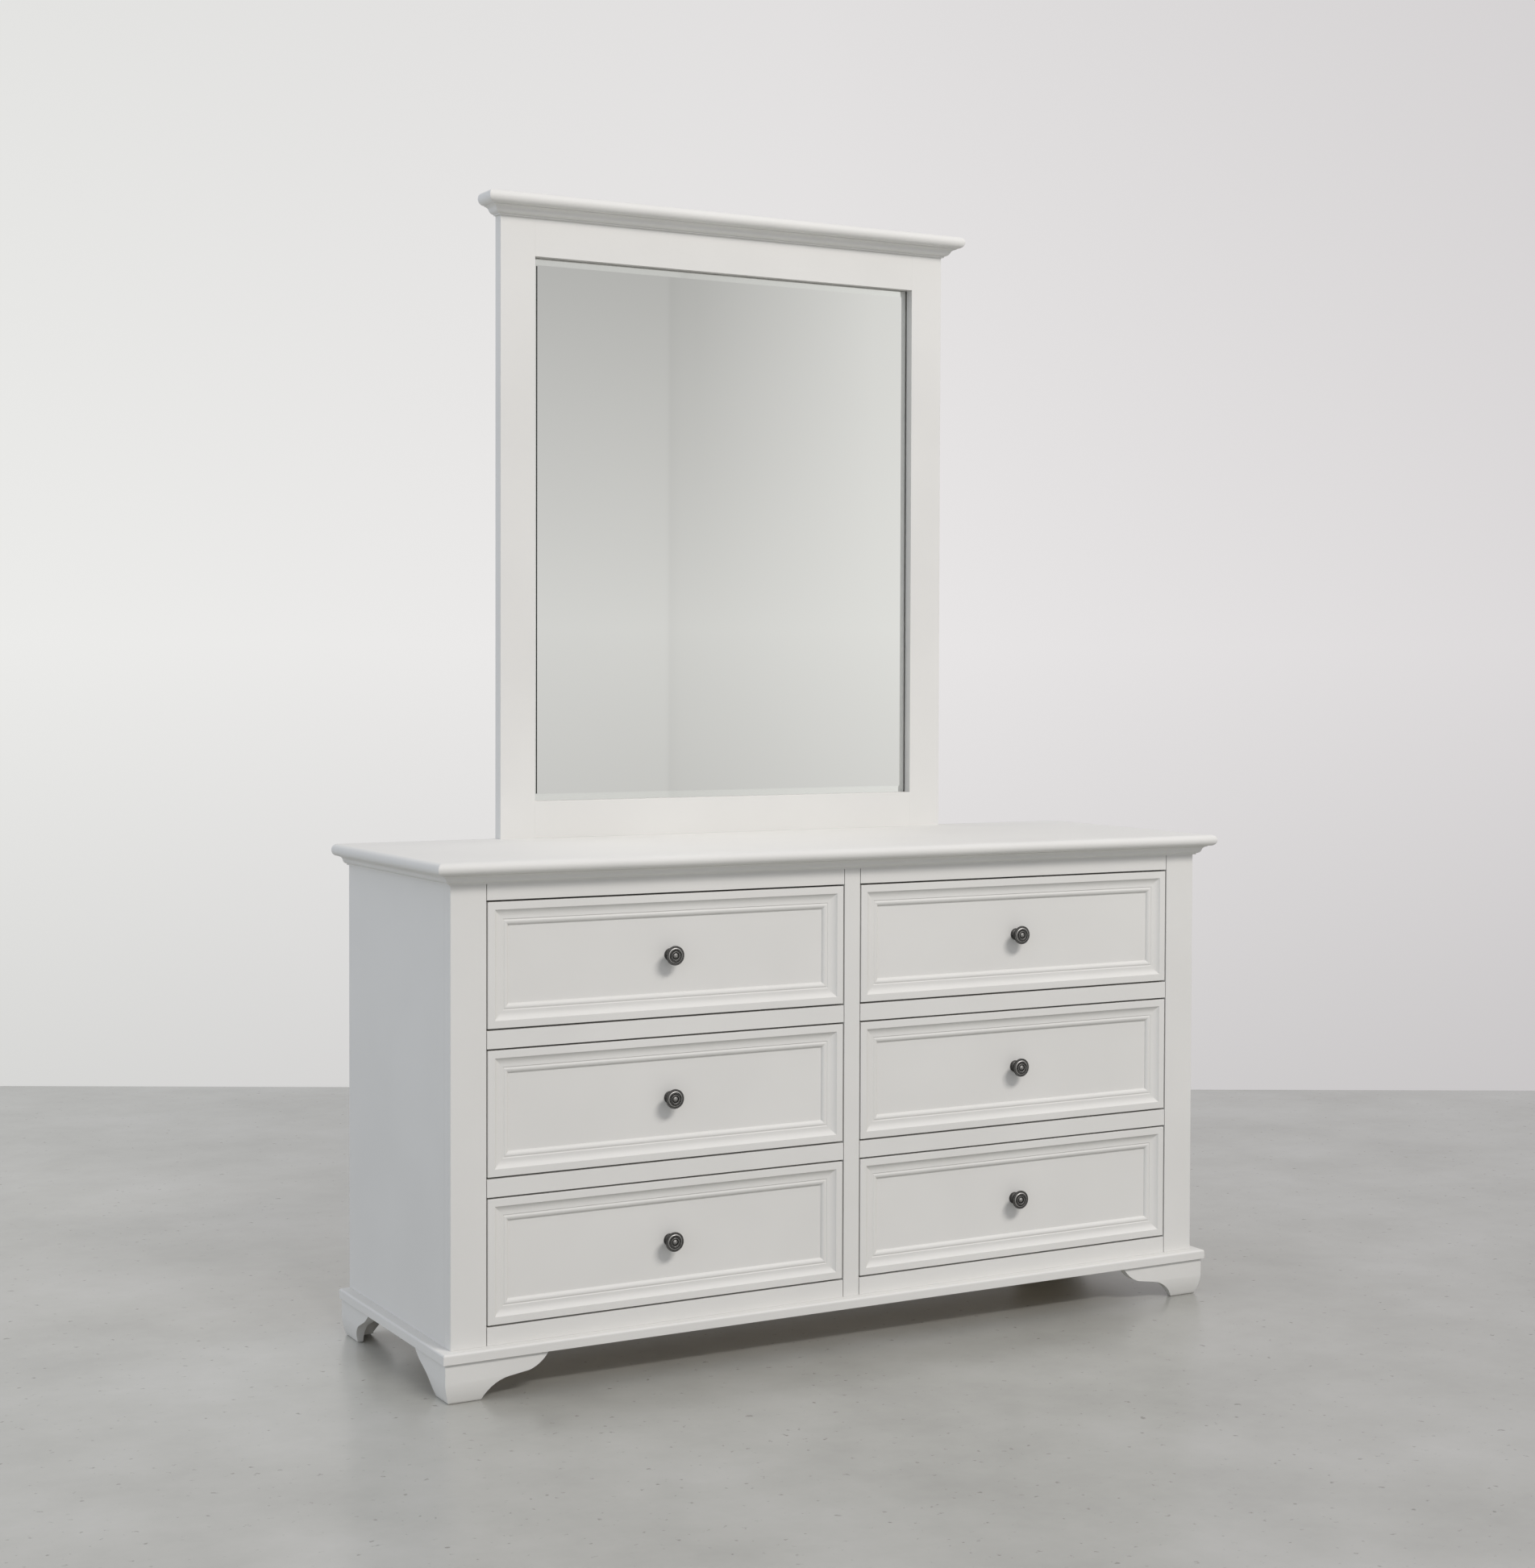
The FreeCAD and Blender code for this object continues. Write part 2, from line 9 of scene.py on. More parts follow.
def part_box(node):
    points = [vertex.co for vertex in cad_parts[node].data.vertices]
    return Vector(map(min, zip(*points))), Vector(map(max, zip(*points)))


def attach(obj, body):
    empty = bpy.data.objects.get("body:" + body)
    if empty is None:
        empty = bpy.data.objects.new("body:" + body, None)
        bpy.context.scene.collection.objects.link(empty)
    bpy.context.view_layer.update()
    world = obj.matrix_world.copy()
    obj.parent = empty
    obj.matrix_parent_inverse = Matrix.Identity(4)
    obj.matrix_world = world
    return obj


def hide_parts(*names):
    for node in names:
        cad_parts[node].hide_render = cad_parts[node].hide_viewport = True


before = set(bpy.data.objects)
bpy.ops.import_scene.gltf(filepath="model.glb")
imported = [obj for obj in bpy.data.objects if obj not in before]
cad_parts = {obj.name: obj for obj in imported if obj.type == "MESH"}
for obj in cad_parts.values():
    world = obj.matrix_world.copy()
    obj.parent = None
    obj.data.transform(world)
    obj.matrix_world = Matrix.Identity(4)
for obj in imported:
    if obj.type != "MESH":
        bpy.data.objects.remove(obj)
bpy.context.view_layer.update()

# A painted dresser with six drawers, and the framed mirror that stands on its top. Metres: +X goes to
# the right of someone who faces the drawers, +Y goes back and +Z up.

mm = 0.001
ROWS = ("lower", "middle", "upper")
SIDES = {"left": -1, "right": 1}

# ---------------------------------------------------------------- sizes that the frame's boxes don't give

# Edges
arris = 1.2 * mm                 # sanded edge of a painted board
post_arris = 2.0 * mm            # corner posts
joint_arris = 0.5 * mm           # where two boards of a frame meet
joint_gap = 1.3 * mm             # open line between a rail of the case and its post
glued_arris = 0.15 * mm          # where the mirror's rails and stiles meet, filled and sanded
foot_arris = 2.5 * mm            # lower edge of a foot
sharp_angle = math.radians(30)
smooth_angle = math.radians(35)
nose_steps = 8                   # facets of a quarter of a rounded edge
arc_steps = 7                    # facets of a moulding's arc
tiny = 0.002 * mm                # rounding error of a place
sliver = 0.01 * mm               # what is left between two edges rounded until they meet
cut_margin = 1 * mm              # how far a cutter starts outside the face that it cuts
straight = 0.999                 # a face whose normal reaches this along an axis looks along it

# Section of the mouldings under the top and the cornice
mould_lip = 1.5 * mm
mould_foot = 4 * mm
mould_bead = 2.4 * mm
mould_bow = 1.7 * mm

# Base
ledge_reach = 19 * mm
ledge_round = 4 * mm
base_board_inside = 41 * mm
quarter_bow = 1 - math.sqrt(0.5)

# Bracket feet, measured along each board from its outer corner
foot_reach = 14.5 * mm
foot_board = 18 * mm
foot_taper = 9 * mm
foot_taper_height = 36 * mm
foot_taper_bow = 1.6 * mm
foot_block = 25 * mm
foot_block_lift = 8 * mm
front_toe = 64.5 * mm
front_waist = 112 * mm
front_knee = 146.5 * mm
front_end = 181 * mm
front_waist_bow = 7.6 * mm
front_knee_bow = 4 * mm
side_toe = 60 * mm
side_waist = 84 * mm
side_knee = 114 * mm
side_end = 137 * mm
side_waist_bow = 4 * mm
side_knee_bow = 1 * mm
waist_height = 35.5 * mm
front_knee_height = 40.5 * mm
side_knee_height = 49.5 * mm
brace_toe = 30 * mm
brace_end = 90 * mm
brace_knee_height = 45 * mm

# Drawer fronts, measured in from the edge and back from the face
front_end_gap = 3 * mm
border_width = 12.5 * mm
cove_end = 24.5 * mm
cove_depth = 5.6 * mm
cove_bow = 1.46 * mm
quirk_start = 28.2 * mm
quirk_middle = 29.3 * mm
quirk_floor = 6.4 * mm
bead_start = 30.5 * mm
bead_start_depth = 6.2 * mm
bead_crest = 32.7 * mm
bead_crest_depth = 5.6 * mm
bead_rise_bow = 0.15 * mm
bead_end = 39 * mm
bead_bow = 1.13 * mm
panel_depth = 9.9 * mm

# Drawer boxes
box_side = 12 * mm
box_front = 15 * mm
box_back = 12 * mm
tail_count = 4
pin_width = 13 * mm
tail_slope = 6                   # 1 in 6
groove_clearance = 0.2 * mm
box_arris = 1.2 * mm

# Knobs: radii, and distances out from the sunk panel
knob_flange_radius = 10.5 * mm
knob_flange_slope = 0.6 * mm
knob_flange_bow = 0.3 * mm
knob_flange = 1.6 * mm
knob_neck_radius = 6 * mm
knob_neck_start = 4.5 * mm
knob_neck_bow = 0.9 * mm
knob_neck_end = 10.7 * mm
knob_back_bow = 1.2 * mm
knob_radius = 16.5 * mm
knob_rim_back = 18.7 * mm
knob_rim_slope = (0.5 * mm, 0.8 * mm)
knob_rim = 21.1 * mm
knob_rim_rise = 0.3 * mm
knob_band_outer = 15.7 * mm
knob_band_inner = 11.5 * mm
knob_band_top = 22.2 * mm
knob_band_bow = 0.55 * mm
knob_groove = 21.1 * mm
knob_lean = 0.3 * mm             # how far the wall of a groove leans
knob_bead_ring = 9.6 * mm
knob_bead_radius = 1.05 * mm
knob_bead_count = 28
knob_ring_outer = 7.8 * mm
knob_ring_lean = 0.2 * mm
knob_ring_inner = 6.3 * mm
knob_ring_top = 22.6 * mm
knob_ring_bow = 0.3 * mm
knob_boss_radius = 4.5 * mm
knob_boss_side = 0.8 * mm
knob_boss_top = 23.9 * mm
knob_boss_bow = 0.5 * mm
knob_dimple_radius = 1.2 * mm
knob_dimple = 0.5 * mm
knob_steps = 64
screw_head_radius = 4.5 * mm
screw_head = 2.4 * mm
screw_head_side = 0.8 * mm
screw_head_bow = 0.3 * mm

# How bright the parts of a knob are rubbed, from 0 to 1
worn_back = 0.2
worn_rim = 0.1
worn_band = 0.9
worn_rings = 0.5

# Mirror
glass_bevel = 20 * mm
glass_edge = 2.5 * mm
back_paint = 0.1 * mm            # paint over the silver, which keeps it off the backing
glass_lap = 8 * mm

# ---------------------------------------------------------------- places that the frame gives


def low(node):
    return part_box(node)[0]


def high(node):
    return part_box(node)[1]


front_y = low("centre_stile").y
frame_back_y = high("centre_stile").y
back_y = high("left_side_panel").y
half_width = high("right_side_panel").x
ledge_top = low("centre_stile").z
case_top = high("centre_stile").z
foot_height = low("base_moulding").z
mirror_front_y = low("mirror_left_stile").y
mirror_half = high("mirror_right_stile").x
mirror_top = high("mirror_right_stile").z

# ---------------------------------------------------------------- ways of working


def take(piece):
    """Makes a piece the only selected object, and the active one."""
    bpy.ops.object.select_all(action="DESELECT")
    piece.select_set(True)
    bpy.context.view_layer.objects.active = piece


def started(name, scale=(1, 1, 1)):
    """Names the shape that was just added, and puts its place and size into its mesh."""
    piece = bpy.context.active_object
    piece.name = name
    piece.data.name = name
    piece.scale = scale
    bpy.ops.object.transform_apply(location=True, rotation=True, scale=True)
    return piece


@contextmanager
def editing(piece):
    take(piece)
    bpy.ops.object.mode_set(mode="EDIT")
    yield
    bpy.ops.object.mode_set(mode="OBJECT")


def pick(piece, kind, test):
    """In edit mode, selects the vertices, edges or faces that pass a test, and nothing else."""
    bpy.ops.mesh.select_mode(type=kind)
    mesh = bmesh.from_edit_mesh(piece.data)
    for item in mesh.verts[:] + mesh.edges[:] + mesh.faces[:]:
        item.select_set(False)
    for item in {"VERT": mesh.verts, "EDGE": mesh.edges, "FACE": mesh.faces}[kind]:
        if test(item):
            item.select_set(True)
    mesh.select_flush_mode()
    bmesh.update_edit_mesh(piece.data)


def pick_all():
    bpy.ops.mesh.select_all(action="SELECT")


def close_up(merge=tiny):
    """In edit mode, merges doubled points and turns every face outwards."""
    pick_all()
    bpy.ops.mesh.remove_doubles(threshold=merge)
    bpy.ops.mesh.normals_make_consistent(inside=False)


def modify(piece, kind, **settings):
    take(piece)
    modifier = piece.modifiers.new(kind.lower(), kind)
    for name, value in settings.items():
        setattr(modifier, name, value)
    bpy.ops.object.modifier_apply(modifier=modifier.name)


def cut(piece, cutter, operation="DIFFERENCE"):
    modify(piece, "BOOLEAN", operation=operation, object=cutter, solver="EXACT")
    bpy.data.objects.remove(cutter)


def joined(pieces, name):
    take(pieces[0])
    for piece in pieces:
        piece.select_set(True)
    bpy.ops.object.join()
    pieces[0].name = name
    pieces[0].data.name = name
    return pieces[0]


def copied(piece, name, move=(0, 0, 0)):
    """A copy with its own mesh, moved to its place."""
    take(piece)
    bpy.ops.object.duplicate(linked=False)
    bpy.ops.transform.translate(value=move)
    return started(name)


def turned_over(piece, name, ways):
    """A copy mirrored at the planes through the origin, for ways of 1 or -1 along each axis."""
    twin = copied(piece, name)
    with editing(twin):
        pick_all()
        bpy.ops.transform.resize(value=ways, center_override=(0, 0, 0))
        close_up()
    return twin


def shift(piece, move):
    take(piece)
    bpy.ops.transform.translate(value=move)
    return started(piece.name)


def soften(piece, width=arris, test=lambda edge: True, segments=2):
    """Rounds the sharp edges that pass a test."""
    with editing(piece):
        pick(piece, "EDGE", lambda edge: edge.calc_face_angle(0) > sharp_angle and test(edge))
        bpy.ops.mesh.bevel(offset=width, segments=segments, affect="EDGES")


def smooth(piece):
    """Shades curved stretches as smooth and keeps flat faces flat up to their rounded edges."""
    take(piece)
    bpy.ops.object.shade_smooth_by_angle(angle=smooth_angle)
    modify(piece, "WEIGHTED_NORMAL", keep_sharp=True)


def fit(piece, body, finish, slot, *nodes):
    """Gives a shaped piece its finish and its body, and has it stand for some nodes."""
    smooth(piece)
    if finish is not None:
        piece.data.materials.clear()
        piece.data.materials.append(finish)
    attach(piece, body)
    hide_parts(*nodes)


# ---------------------------------------------------------------- outlines and the shapes made from them


def arc(start, end, bow):
    """Points on a round arc after its start. bow is its rise, to the left of the way there."""
    run = Vector(end) - Vector(start)
    middle = Vector(start) + run / 2
    left = Vector((-run.y, run.x)).normalized() * math.copysign(1, bow)
    rise = abs(bow)
    radius = (run.length_squared / 4 + rise * rise) / (2 * rise)
    half_angle = 2 * math.atan(2 * rise / run.length)
    points = []
    for step in range(1, arc_steps + 1):
        angle = half_angle * (2 * step / arc_steps - 1)
        along = run.normalized() * radius * math.sin(angle)
        points.append(tuple(middle + along + left * (radius * math.cos(angle) - radius + rise)))
    return points


def traced(corners):
    """The points of an outline. A corner is (u, w), or (u, w, bow) where an arc arrives at it."""
    points = []
    for corner in corners:
        if len(corner) == 3:
            points += arc(points[-1], corner[:2], corner[2])
        else:
            points.append(corner)
    return points


def slab(name, start, end):
    """A board between two opposite corners."""
    start, end = Vector(start), Vector(end)
    size = [abs(side) for side in end - start]
    bpy.ops.object.select_all(action="DESELECT")
    bpy.ops.mesh.primitive_cube_add(size=1, location=(start + end) / 2)
    return started(name, size)


def line(name, points):
    """A line drawn from point to point."""
    points = [Vector(point) for point in points]
    bpy.ops.object.select_all(action="DESELECT")
    bpy.ops.mesh.primitive_plane_add(size=mm, location=points[0])
    piece = started(name)
    with editing(piece):
        bpy.ops.mesh.select_mode(type="VERT")
        pick_all()
        bpy.ops.mesh.merge(type="CENTER")
        for before, after in zip(points, points[1:]):
            bpy.ops.mesh.extrude_region_move(TRANSFORM_OT_translate={"value": after - before})
    return piece


def drawn(name, points, push):
    """An outline, filled and pushed out to its thickness."""
    piece = line(name, points)
    with editing(piece):
        pick_all()
        bpy.ops.mesh.edge_face_add()
        bpy.ops.mesh.extrude_region_move(TRANSFORM_OT_translate={"value": Vector(push)})
        close_up()
    return piece


def spun(name, section, centre):
    """A turned shape on an axis along Y. The section is (radius, distance in front of the centre)."""
    place = Vector(centre)
    piece = line(name, [place + Vector((radius, -out, 0)) for radius, out in section])
    with editing(piece):
        pick_all()
        bpy.ops.mesh.spin(steps=knob_steps, angle=2 * math.pi, center=place, axis=(0, 1, 0))
        close_up()
    return piece


def wrapped(name, section, half, front, back):
    """A moulding that runs round the front and both sides, mitred at the two front corners. Its
    section is (distance out from the case, height)."""
    out, height = section[0]
    deep = back - front + out
    bpy.ops.object.select_all(action="DESELECT")
    bpy.ops.mesh.primitive_plane_add(size=1, location=(0, back - deep / 2, height))
    piece = started(name, (2 * (half + out), deep, 1))
    with editing(piece):
        pick(piece, "EDGE", lambda edge: all(abs(vert.co.y - back) < tiny for vert in edge.verts))
        bpy.ops.mesh.delete(type="EDGE")
        pick_all()
        for before, after in zip(section, section[1:] + section[:1]):
            bpy.ops.mesh.extrude_region_move(TRANSFORM_OT_translate={"value": (0, 0, after[1] - before[1])})
            wide = (half + after[0]) / (half + before[0])
            long = (back - front + after[0]) / (back - front + before[0])
            bpy.ops.transform.resize(value=(wide, long, 1), center_override=(0, back, 0))
        close_up()
        for way in SIDES.values():
            pick(piece, "EDGE", lambda edge: edge.is_boundary and edge.verts[0].co.x * way > 0)
            bpy.ops.mesh.edge_face_add()
        close_up()
        keep_corners(piece, half, front)
    return piece


def keep_corners(piece, half, front):
    """In edit mode, marks the edges in the two mitres at the front corners as sharp."""
    def in_mitre(vert):
        return abs(abs(vert.co.x) - half + vert.co.y - front) < tiny
    pick(piece, "EDGE", lambda edge: all(in_mitre(vert) for vert in edge.verts))
    bpy.ops.mesh.mark_sharp()


def nosed(name, start, end):
    """A board with fully rounded front and side edges, which meet in mitres at the front corners."""
    piece = slab(name, start, end)
    radius = (end[2] - start[2]) / 2
    with editing(piece):
        pick(piece, "EDGE", lambda edge: abs(edge.verts[0].co.z - edge.verts[1].co.z) < tiny
             and not all(abs(vert.co.y - end[1]) < tiny for vert in edge.verts))
        bpy.ops.mesh.bevel(offset=radius - tiny, segments=nose_steps, affect="EDGES", clamp_overlap=False)
        close_up(sliver)
        keep_corners(piece, end[0], start[1])
    return piece


def s_section(node_low, node_high, reach):
    """Section of the moulding under a top: a lip, a hollow that turns into a round, and a fillet."""
    lip = (reach, node_high - mould_lip)
    foot = (mould_foot, node_low + mould_bead)
    middle = ((lip[0] + foot[0]) / 2, (lip[1] + foot[1]) / 2, -mould_bow)
    return traced([(0, node_low), (0, node_high), (reach, node_high), lip, middle,
                   (*foot, mould_bow), (mould_foot, node_low)])


# ---------------------------------------------------------------- finishes

BLEND = {"data_type": "RGBA"}
MULTIPLY = {"data_type": "RGBA", "blend_type": "MULTIPLY"}


def colour(code):
    """Linear colour of an sRGB value written as #RRGGBB."""
    channels = [int(code[place:place + 2], 16) / 255 for place in (1, 3, 5)]
    channels = [c / 12.92 if c <= 0.04045 else ((c + 0.055) / 1.055) ** 2.4 for c in channels]
    return (*channels, 1.0)


def add_node(tree, kind, inputs=(), stops=(), **settings):
    """Adds a node. inputs are (socket, what feeds it): a value, a colour code, an output, or a node for
    its first output. stops are a ramp's (position, colour)."""
    node = tree.nodes.new(kind)
    for name, value in settings.items():
        setattr(node, name, value)
    for socket, value in inputs:
        if isinstance(value, bpy.types.Node):
            value = value.outputs[0]
        if isinstance(value, bpy.types.NodeSocket):
            tree.links.new(value, node.inputs[socket])
        elif isinstance(value, str):
            node.inputs[socket].default_value = colour(value)
        else:
            node.inputs[socket].default_value = value
    for index, (position, code) in enumerate(stops):
        ramp = node.color_ramp.elements
        element = ramp[index] if index < 2 else ramp.new(position)
        element.position = position
        element.color = colour(code)
    return node


def made(recipe, name=None, **choices):
    """Makes a material. Its recipe adds nodes to the tree and gives the inputs of the shader."""
    material = bpy.data.materials.new(name or recipe.__name__)
    material.use_nodes = True
    tree = material.node_tree
    tree.nodes.clear()
    shader = add_node(tree, "ShaderNodeBsdfPrincipled", recipe(tree, **choices))
    add_node(tree, "ShaderNodeOutputMaterial", [("Surface", shader)])
    return material


def grain(tree, place, sizes, detail, distortion=0.0):
    """A pattern whose spots are as long as sizes says along X, Y and Z."""
    scale = [1 / size for size in sizes]
    stretched = add_node(tree, "ShaderNodeMapping", [("Vector", place), ("Scale", scale)])
    return add_node(tree, "ShaderNodeTexNoise", [("Vector", stretched), ("Scale", 1), ("Detail", detail),
                                                 ("Distortion", distortion)])


def satin_lacquer(tree):
    """White lacquer sprayed over sanded boards and rubbed to a satin sheen: an even off-white that
    hardly changes from board to board, with soft highlights and a faint orange peel. The peel is
    drawn at 5 mm, coarser than the real 1 mm, so that it shows."""
    place = add_node(tree, "ShaderNodeTexCoord").outputs["Object"]
    cloud = add_node(tree, "ShaderNodeTexNoise",
                     [("Vector", place), ("Scale", 1 / (220 * mm)), ("Detail", 2)])
    tone = add_node(tree, "ShaderNodeValToRGB", [("Fac", cloud)],
                    stops=[(0.35, "#DAD9D5"), (0.65, "#DDDCD8")])
    sheen = add_node(tree, "ShaderNodeMapRange", [("Value", cloud), ("From Min", 0.3), ("From Max", 0.7),
                                                  ("To Min", 0.58), ("To Max", 0.64)])
    peel = add_node(tree, "ShaderNodeTexNoise", [("Vector", place), ("Scale", 1 / (5 * mm)), ("Detail", 1)])
    relief = add_node(tree, "ShaderNodeBump", [("Height", peel), ("Strength", 0.25), ("Distance", 0.05 * mm)])
    return [("Base Color", tone), ("Roughness", sheen), ("Normal", relief), ("IOR", 1.46)]


def poplar(tree, along):
    """Planed poplar with a thin clear coat: pale straw, with grain lines 2 to 4 mm apart that run the
    length of the board, darker streaks, and short pores. along is 0, 1 or 2 for grain on X, Y or Z."""
    def lengthwise(across, length):
        return [length if axis == along else across for axis in range(3)]

    place = add_node(tree, "ShaderNodeTexCoord").outputs["Object"]
    lines = grain(tree, place, lengthwise(3 * mm, 160 * mm), 3, 0.6)
    streaks = grain(tree, place, lengthwise(26 * mm, 700 * mm), 2, 0.6)
    pores = grain(tree, place, lengthwise(0.7 * mm, 9 * mm), 1, 0.6)
    base = add_node(tree, "ShaderNodeValToRGB", [("Fac", lines)],
                    stops=[(0.32, "#C6A67A"), (0.5, "#D6BA91"), (0.68, "#DDC49E")])
    streak = add_node(tree, "ShaderNodeValToRGB", [("Fac", streaks)],
                      stops=[(0.35, "#CDB18A"), (0.65, "#FFFFFF")])
    pore = add_node(tree, "ShaderNodeValToRGB", [("Fac", pores)], stops=[(0.3, "#B89A70"), (0.4, "#FFFFFF")])
    tinted = add_node(tree, "ShaderNodeMix", [(0, 0.55), (6, base), (7, streak)], **MULTIPLY)
    coat = add_node(tree, "ShaderNodeMix", [(0, 0.5), (6, tinted.outputs[2]), (7, pore)], **MULTIPLY)
    relief = add_node(tree, "ShaderNodeBump", [("Height", lines), ("Strength", 0.3), ("Distance", 0.1 * mm)])
    return [("Base Color", coat.outputs[2]), ("Roughness", 0.5), ("Normal", relief)]


def birch_plywood(tree):
    """Sanded birch plywood: cream, with the broad wavy figure of peeled veneer and small flecks."""
    place = add_node(tree, "ShaderNodeTexCoord").outputs["Object"]
    figure = grain(tree, place, (260 * mm, 70 * mm, 90 * mm), 4, 1.5)
    fleck = grain(tree, place, (30 * mm, 1.5 * mm, 1.5 * mm), 1)
    base = add_node(tree, "ShaderNodeValToRGB", [("Fac", figure)],
                    stops=[(0.3, "#CDB48D"), (0.5, "#DCC7A3"), (0.7, "#E3D2B2")])
    dark = add_node(tree, "ShaderNodeValToRGB", [("Fac", fleck)],
                    stops=[(0.32, "#D3B98F"), (0.45, "#FFFFFF")])
    coat = add_node(tree, "ShaderNodeMix", [(0, 0.6), (6, base), (7, dark)], **MULTIPLY)
    return [("Base Color", coat.outputs[2]), ("Roughness", 0.6)]


def hardboard(tree):
    """Pressed hardboard: warm brown with fine fibres and darker specks."""
    place = add_node(tree, "ShaderNodeTexCoord").outputs["Object"]
    fibre = add_node(tree, "ShaderNodeTexNoise", [("Vector", place), ("Scale", 1 / (2.5 * mm)), ("Detail", 4),
                                                  ("Roughness", 0.7)])
    tone = add_node(tree, "ShaderNodeValToRGB", [("Fac", fibre)],
                    stops=[(0.3, "#6F5236"), (0.5, "#8C6B49"), (0.7, "#A5825C")])
    relief = add_node(tree, "ShaderNodeBump", [("Height", fibre), ("Strength", 0.3), ("Distance", 0.1 * mm)])
    return [("Base Color", tone), ("Roughness", 0.55), ("Normal", relief)]


def zinc_plate(tree):
    """Rolled steel with bright zinc plating: pale blue-grey, with a faint patchy bloom and rolling
    lines along the slides."""
    place = add_node(tree, "ShaderNodeTexCoord").outputs["Object"]
    bloom = add_node(tree, "ShaderNodeTexNoise", [("Vector", place), ("Scale", 1 / (14 * mm)), ("Detail", 3)])
    tone = add_node(tree, "ShaderNodeValToRGB", [("Fac", bloom)],
                    stops=[(0.35, "#A9AFB5"), (0.65, "#C3C7C9")])
    lines = grain(tree, place, (0.8 * mm, 60 * mm, 0.8 * mm), 1)
    sheen = add_node(tree, "ShaderNodeMapRange", [("Value", lines), ("To Min", 0.28), ("To Max", 0.46)])
    return [("Base Color", tone), ("Metallic", 1.0), ("Roughness", sheen)]


def antique_pewter(tree):
    """Cast pewter, darkened in a bath and rubbed back: nearly black in the grooves and bright on the
    crests that a hand meets. The attribute worn says how far a place is rubbed, from 0 to 1."""
    place = add_node(tree, "ShaderNodeTexCoord").outputs["Object"]
    worn = add_node(tree, "ShaderNodeAttribute", attribute_name="worn").outputs["Fac"]
    cast = add_node(tree, "ShaderNodeTexNoise", [("Vector", place), ("Scale", 1 / (1.6 * mm)), ("Detail", 3)])
    uneven = add_node(tree, "ShaderNodeMath", [(0, cast), (1, -0.5)], operation="ADD")
    rubbed = add_node(tree, "ShaderNodeMath", [(0, uneven), (1, 0.3), (2, worn)],
                      operation="MULTIPLY_ADD")
    tone = add_node(tree, "ShaderNodeValToRGB", [("Fac", rubbed)],
                    stops=[(0.1, "#2E2E2D"), (0.4, "#8A8988"), (0.75, "#C8C7C6")])
    sheen = add_node(tree, "ShaderNodeMapRange", [("Value", rubbed), ("To Min", 0.6), ("To Max", 0.42)])
    relief = add_node(tree, "ShaderNodeBump", [("Height", cast), ("Strength", 0.3), ("Distance", 0.1 * mm)])
    return [("Base Color", tone), ("Metallic", 1.0), ("Roughness", sheen), ("Normal", relief)]


def float_glass(tree):
    """Polished float glass, 4 mm thick: clear. It shows at the bevels, which bend what lies behind."""
    return [("Base Color", "#FEFFFE"), ("Transmission Weight", 1.0), ("Roughness", 0.0), ("IOR", 1.52)]


def silvered_glass(tree):
    """Float glass silvered on its back: a sharp, very slightly greyed reflection. On the flat of the
    plate the silver is drawn at the front, from where it lights the top."""
    place = add_node(tree, "ShaderNodeTexCoord").outputs["Object"]
    cloud = add_node(tree, "ShaderNodeTexNoise",
                     [("Vector", place), ("Scale", 1 / (300 * mm)), ("Detail", 1)])
    tone = add_node(tree, "ShaderNodeValToRGB", [("Fac", cloud)], stops=[(0.3, "#EFEFEE"), (0.7, "#F0F0EF")])
    return [("Base Color", tone), ("Metallic", 1.0), ("Roughness", 0.01)]


def polished_concrete(tree):
    """Power-floated concrete, sealed: pale grey with soft clouds up to a metre wide, small dark specks
    and a soft gloss. Its colour is painted a little darker towards +X: painted shade for the room's light,
    which is stronger from the left."""
    place = add_node(tree, "ShaderNodeTexCoord").outputs["Object"]
    cloud = add_node(tree, "ShaderNodeTexNoise", [("Vector", place), ("Scale", 1 / (450 * mm)), ("Detail", 8),
                                                  ("Roughness", 0.62)])
    base = add_node(tree, "ShaderNodeValToRGB", [("Fac", cloud)],
                    stops=[(0.3, "#B4B3AC"), (0.5, "#C1C0B9"), (0.7, "#CCCBC5")])
    # Painted shade: the floor's colour is darkened from -X to +X, for light that falls more from the left
    sideways = add_node(tree, "ShaderNodeSeparateXYZ", [("Vector", place)])
    painted_light_fade = add_node(tree, "ShaderNodeMapRange", [("Value", sideways.outputs["X"]), ("From Min", -2),
                                                 ("From Max", 2)])
    painted_shade_ramp = add_node(tree, "ShaderNodeMix", [(0, painted_light_fade), (6, "#FFFFFF"), (7, "#F0F0F0")], **BLEND)
    base_with_painted_shade = add_node(tree, "ShaderNodeMix", [(0, 1.0), (6, base), (7, painted_shade_ramp.outputs[2])], **MULTIPLY)
    speck = add_node(tree, "ShaderNodeTexNoise", [("Vector", place), ("Scale", 1 / (16 * mm)), ("Detail", 3)])
    dark = add_node(tree, "ShaderNodeValToRGB", [("Fac", speck)],
                    stops=[(0.26, "#A9A7A0"), (0.34, "#FFFFFF")])
    coat = add_node(tree, "ShaderNodeMix", [(0, 0.6), (6, base_with_painted_shade.outputs[2]), (7, dark)], **MULTIPLY)
    return [("Base Color", coat.outputs[2]), ("Roughness", 0.24)]


# ---------------------------------------------------------------- case


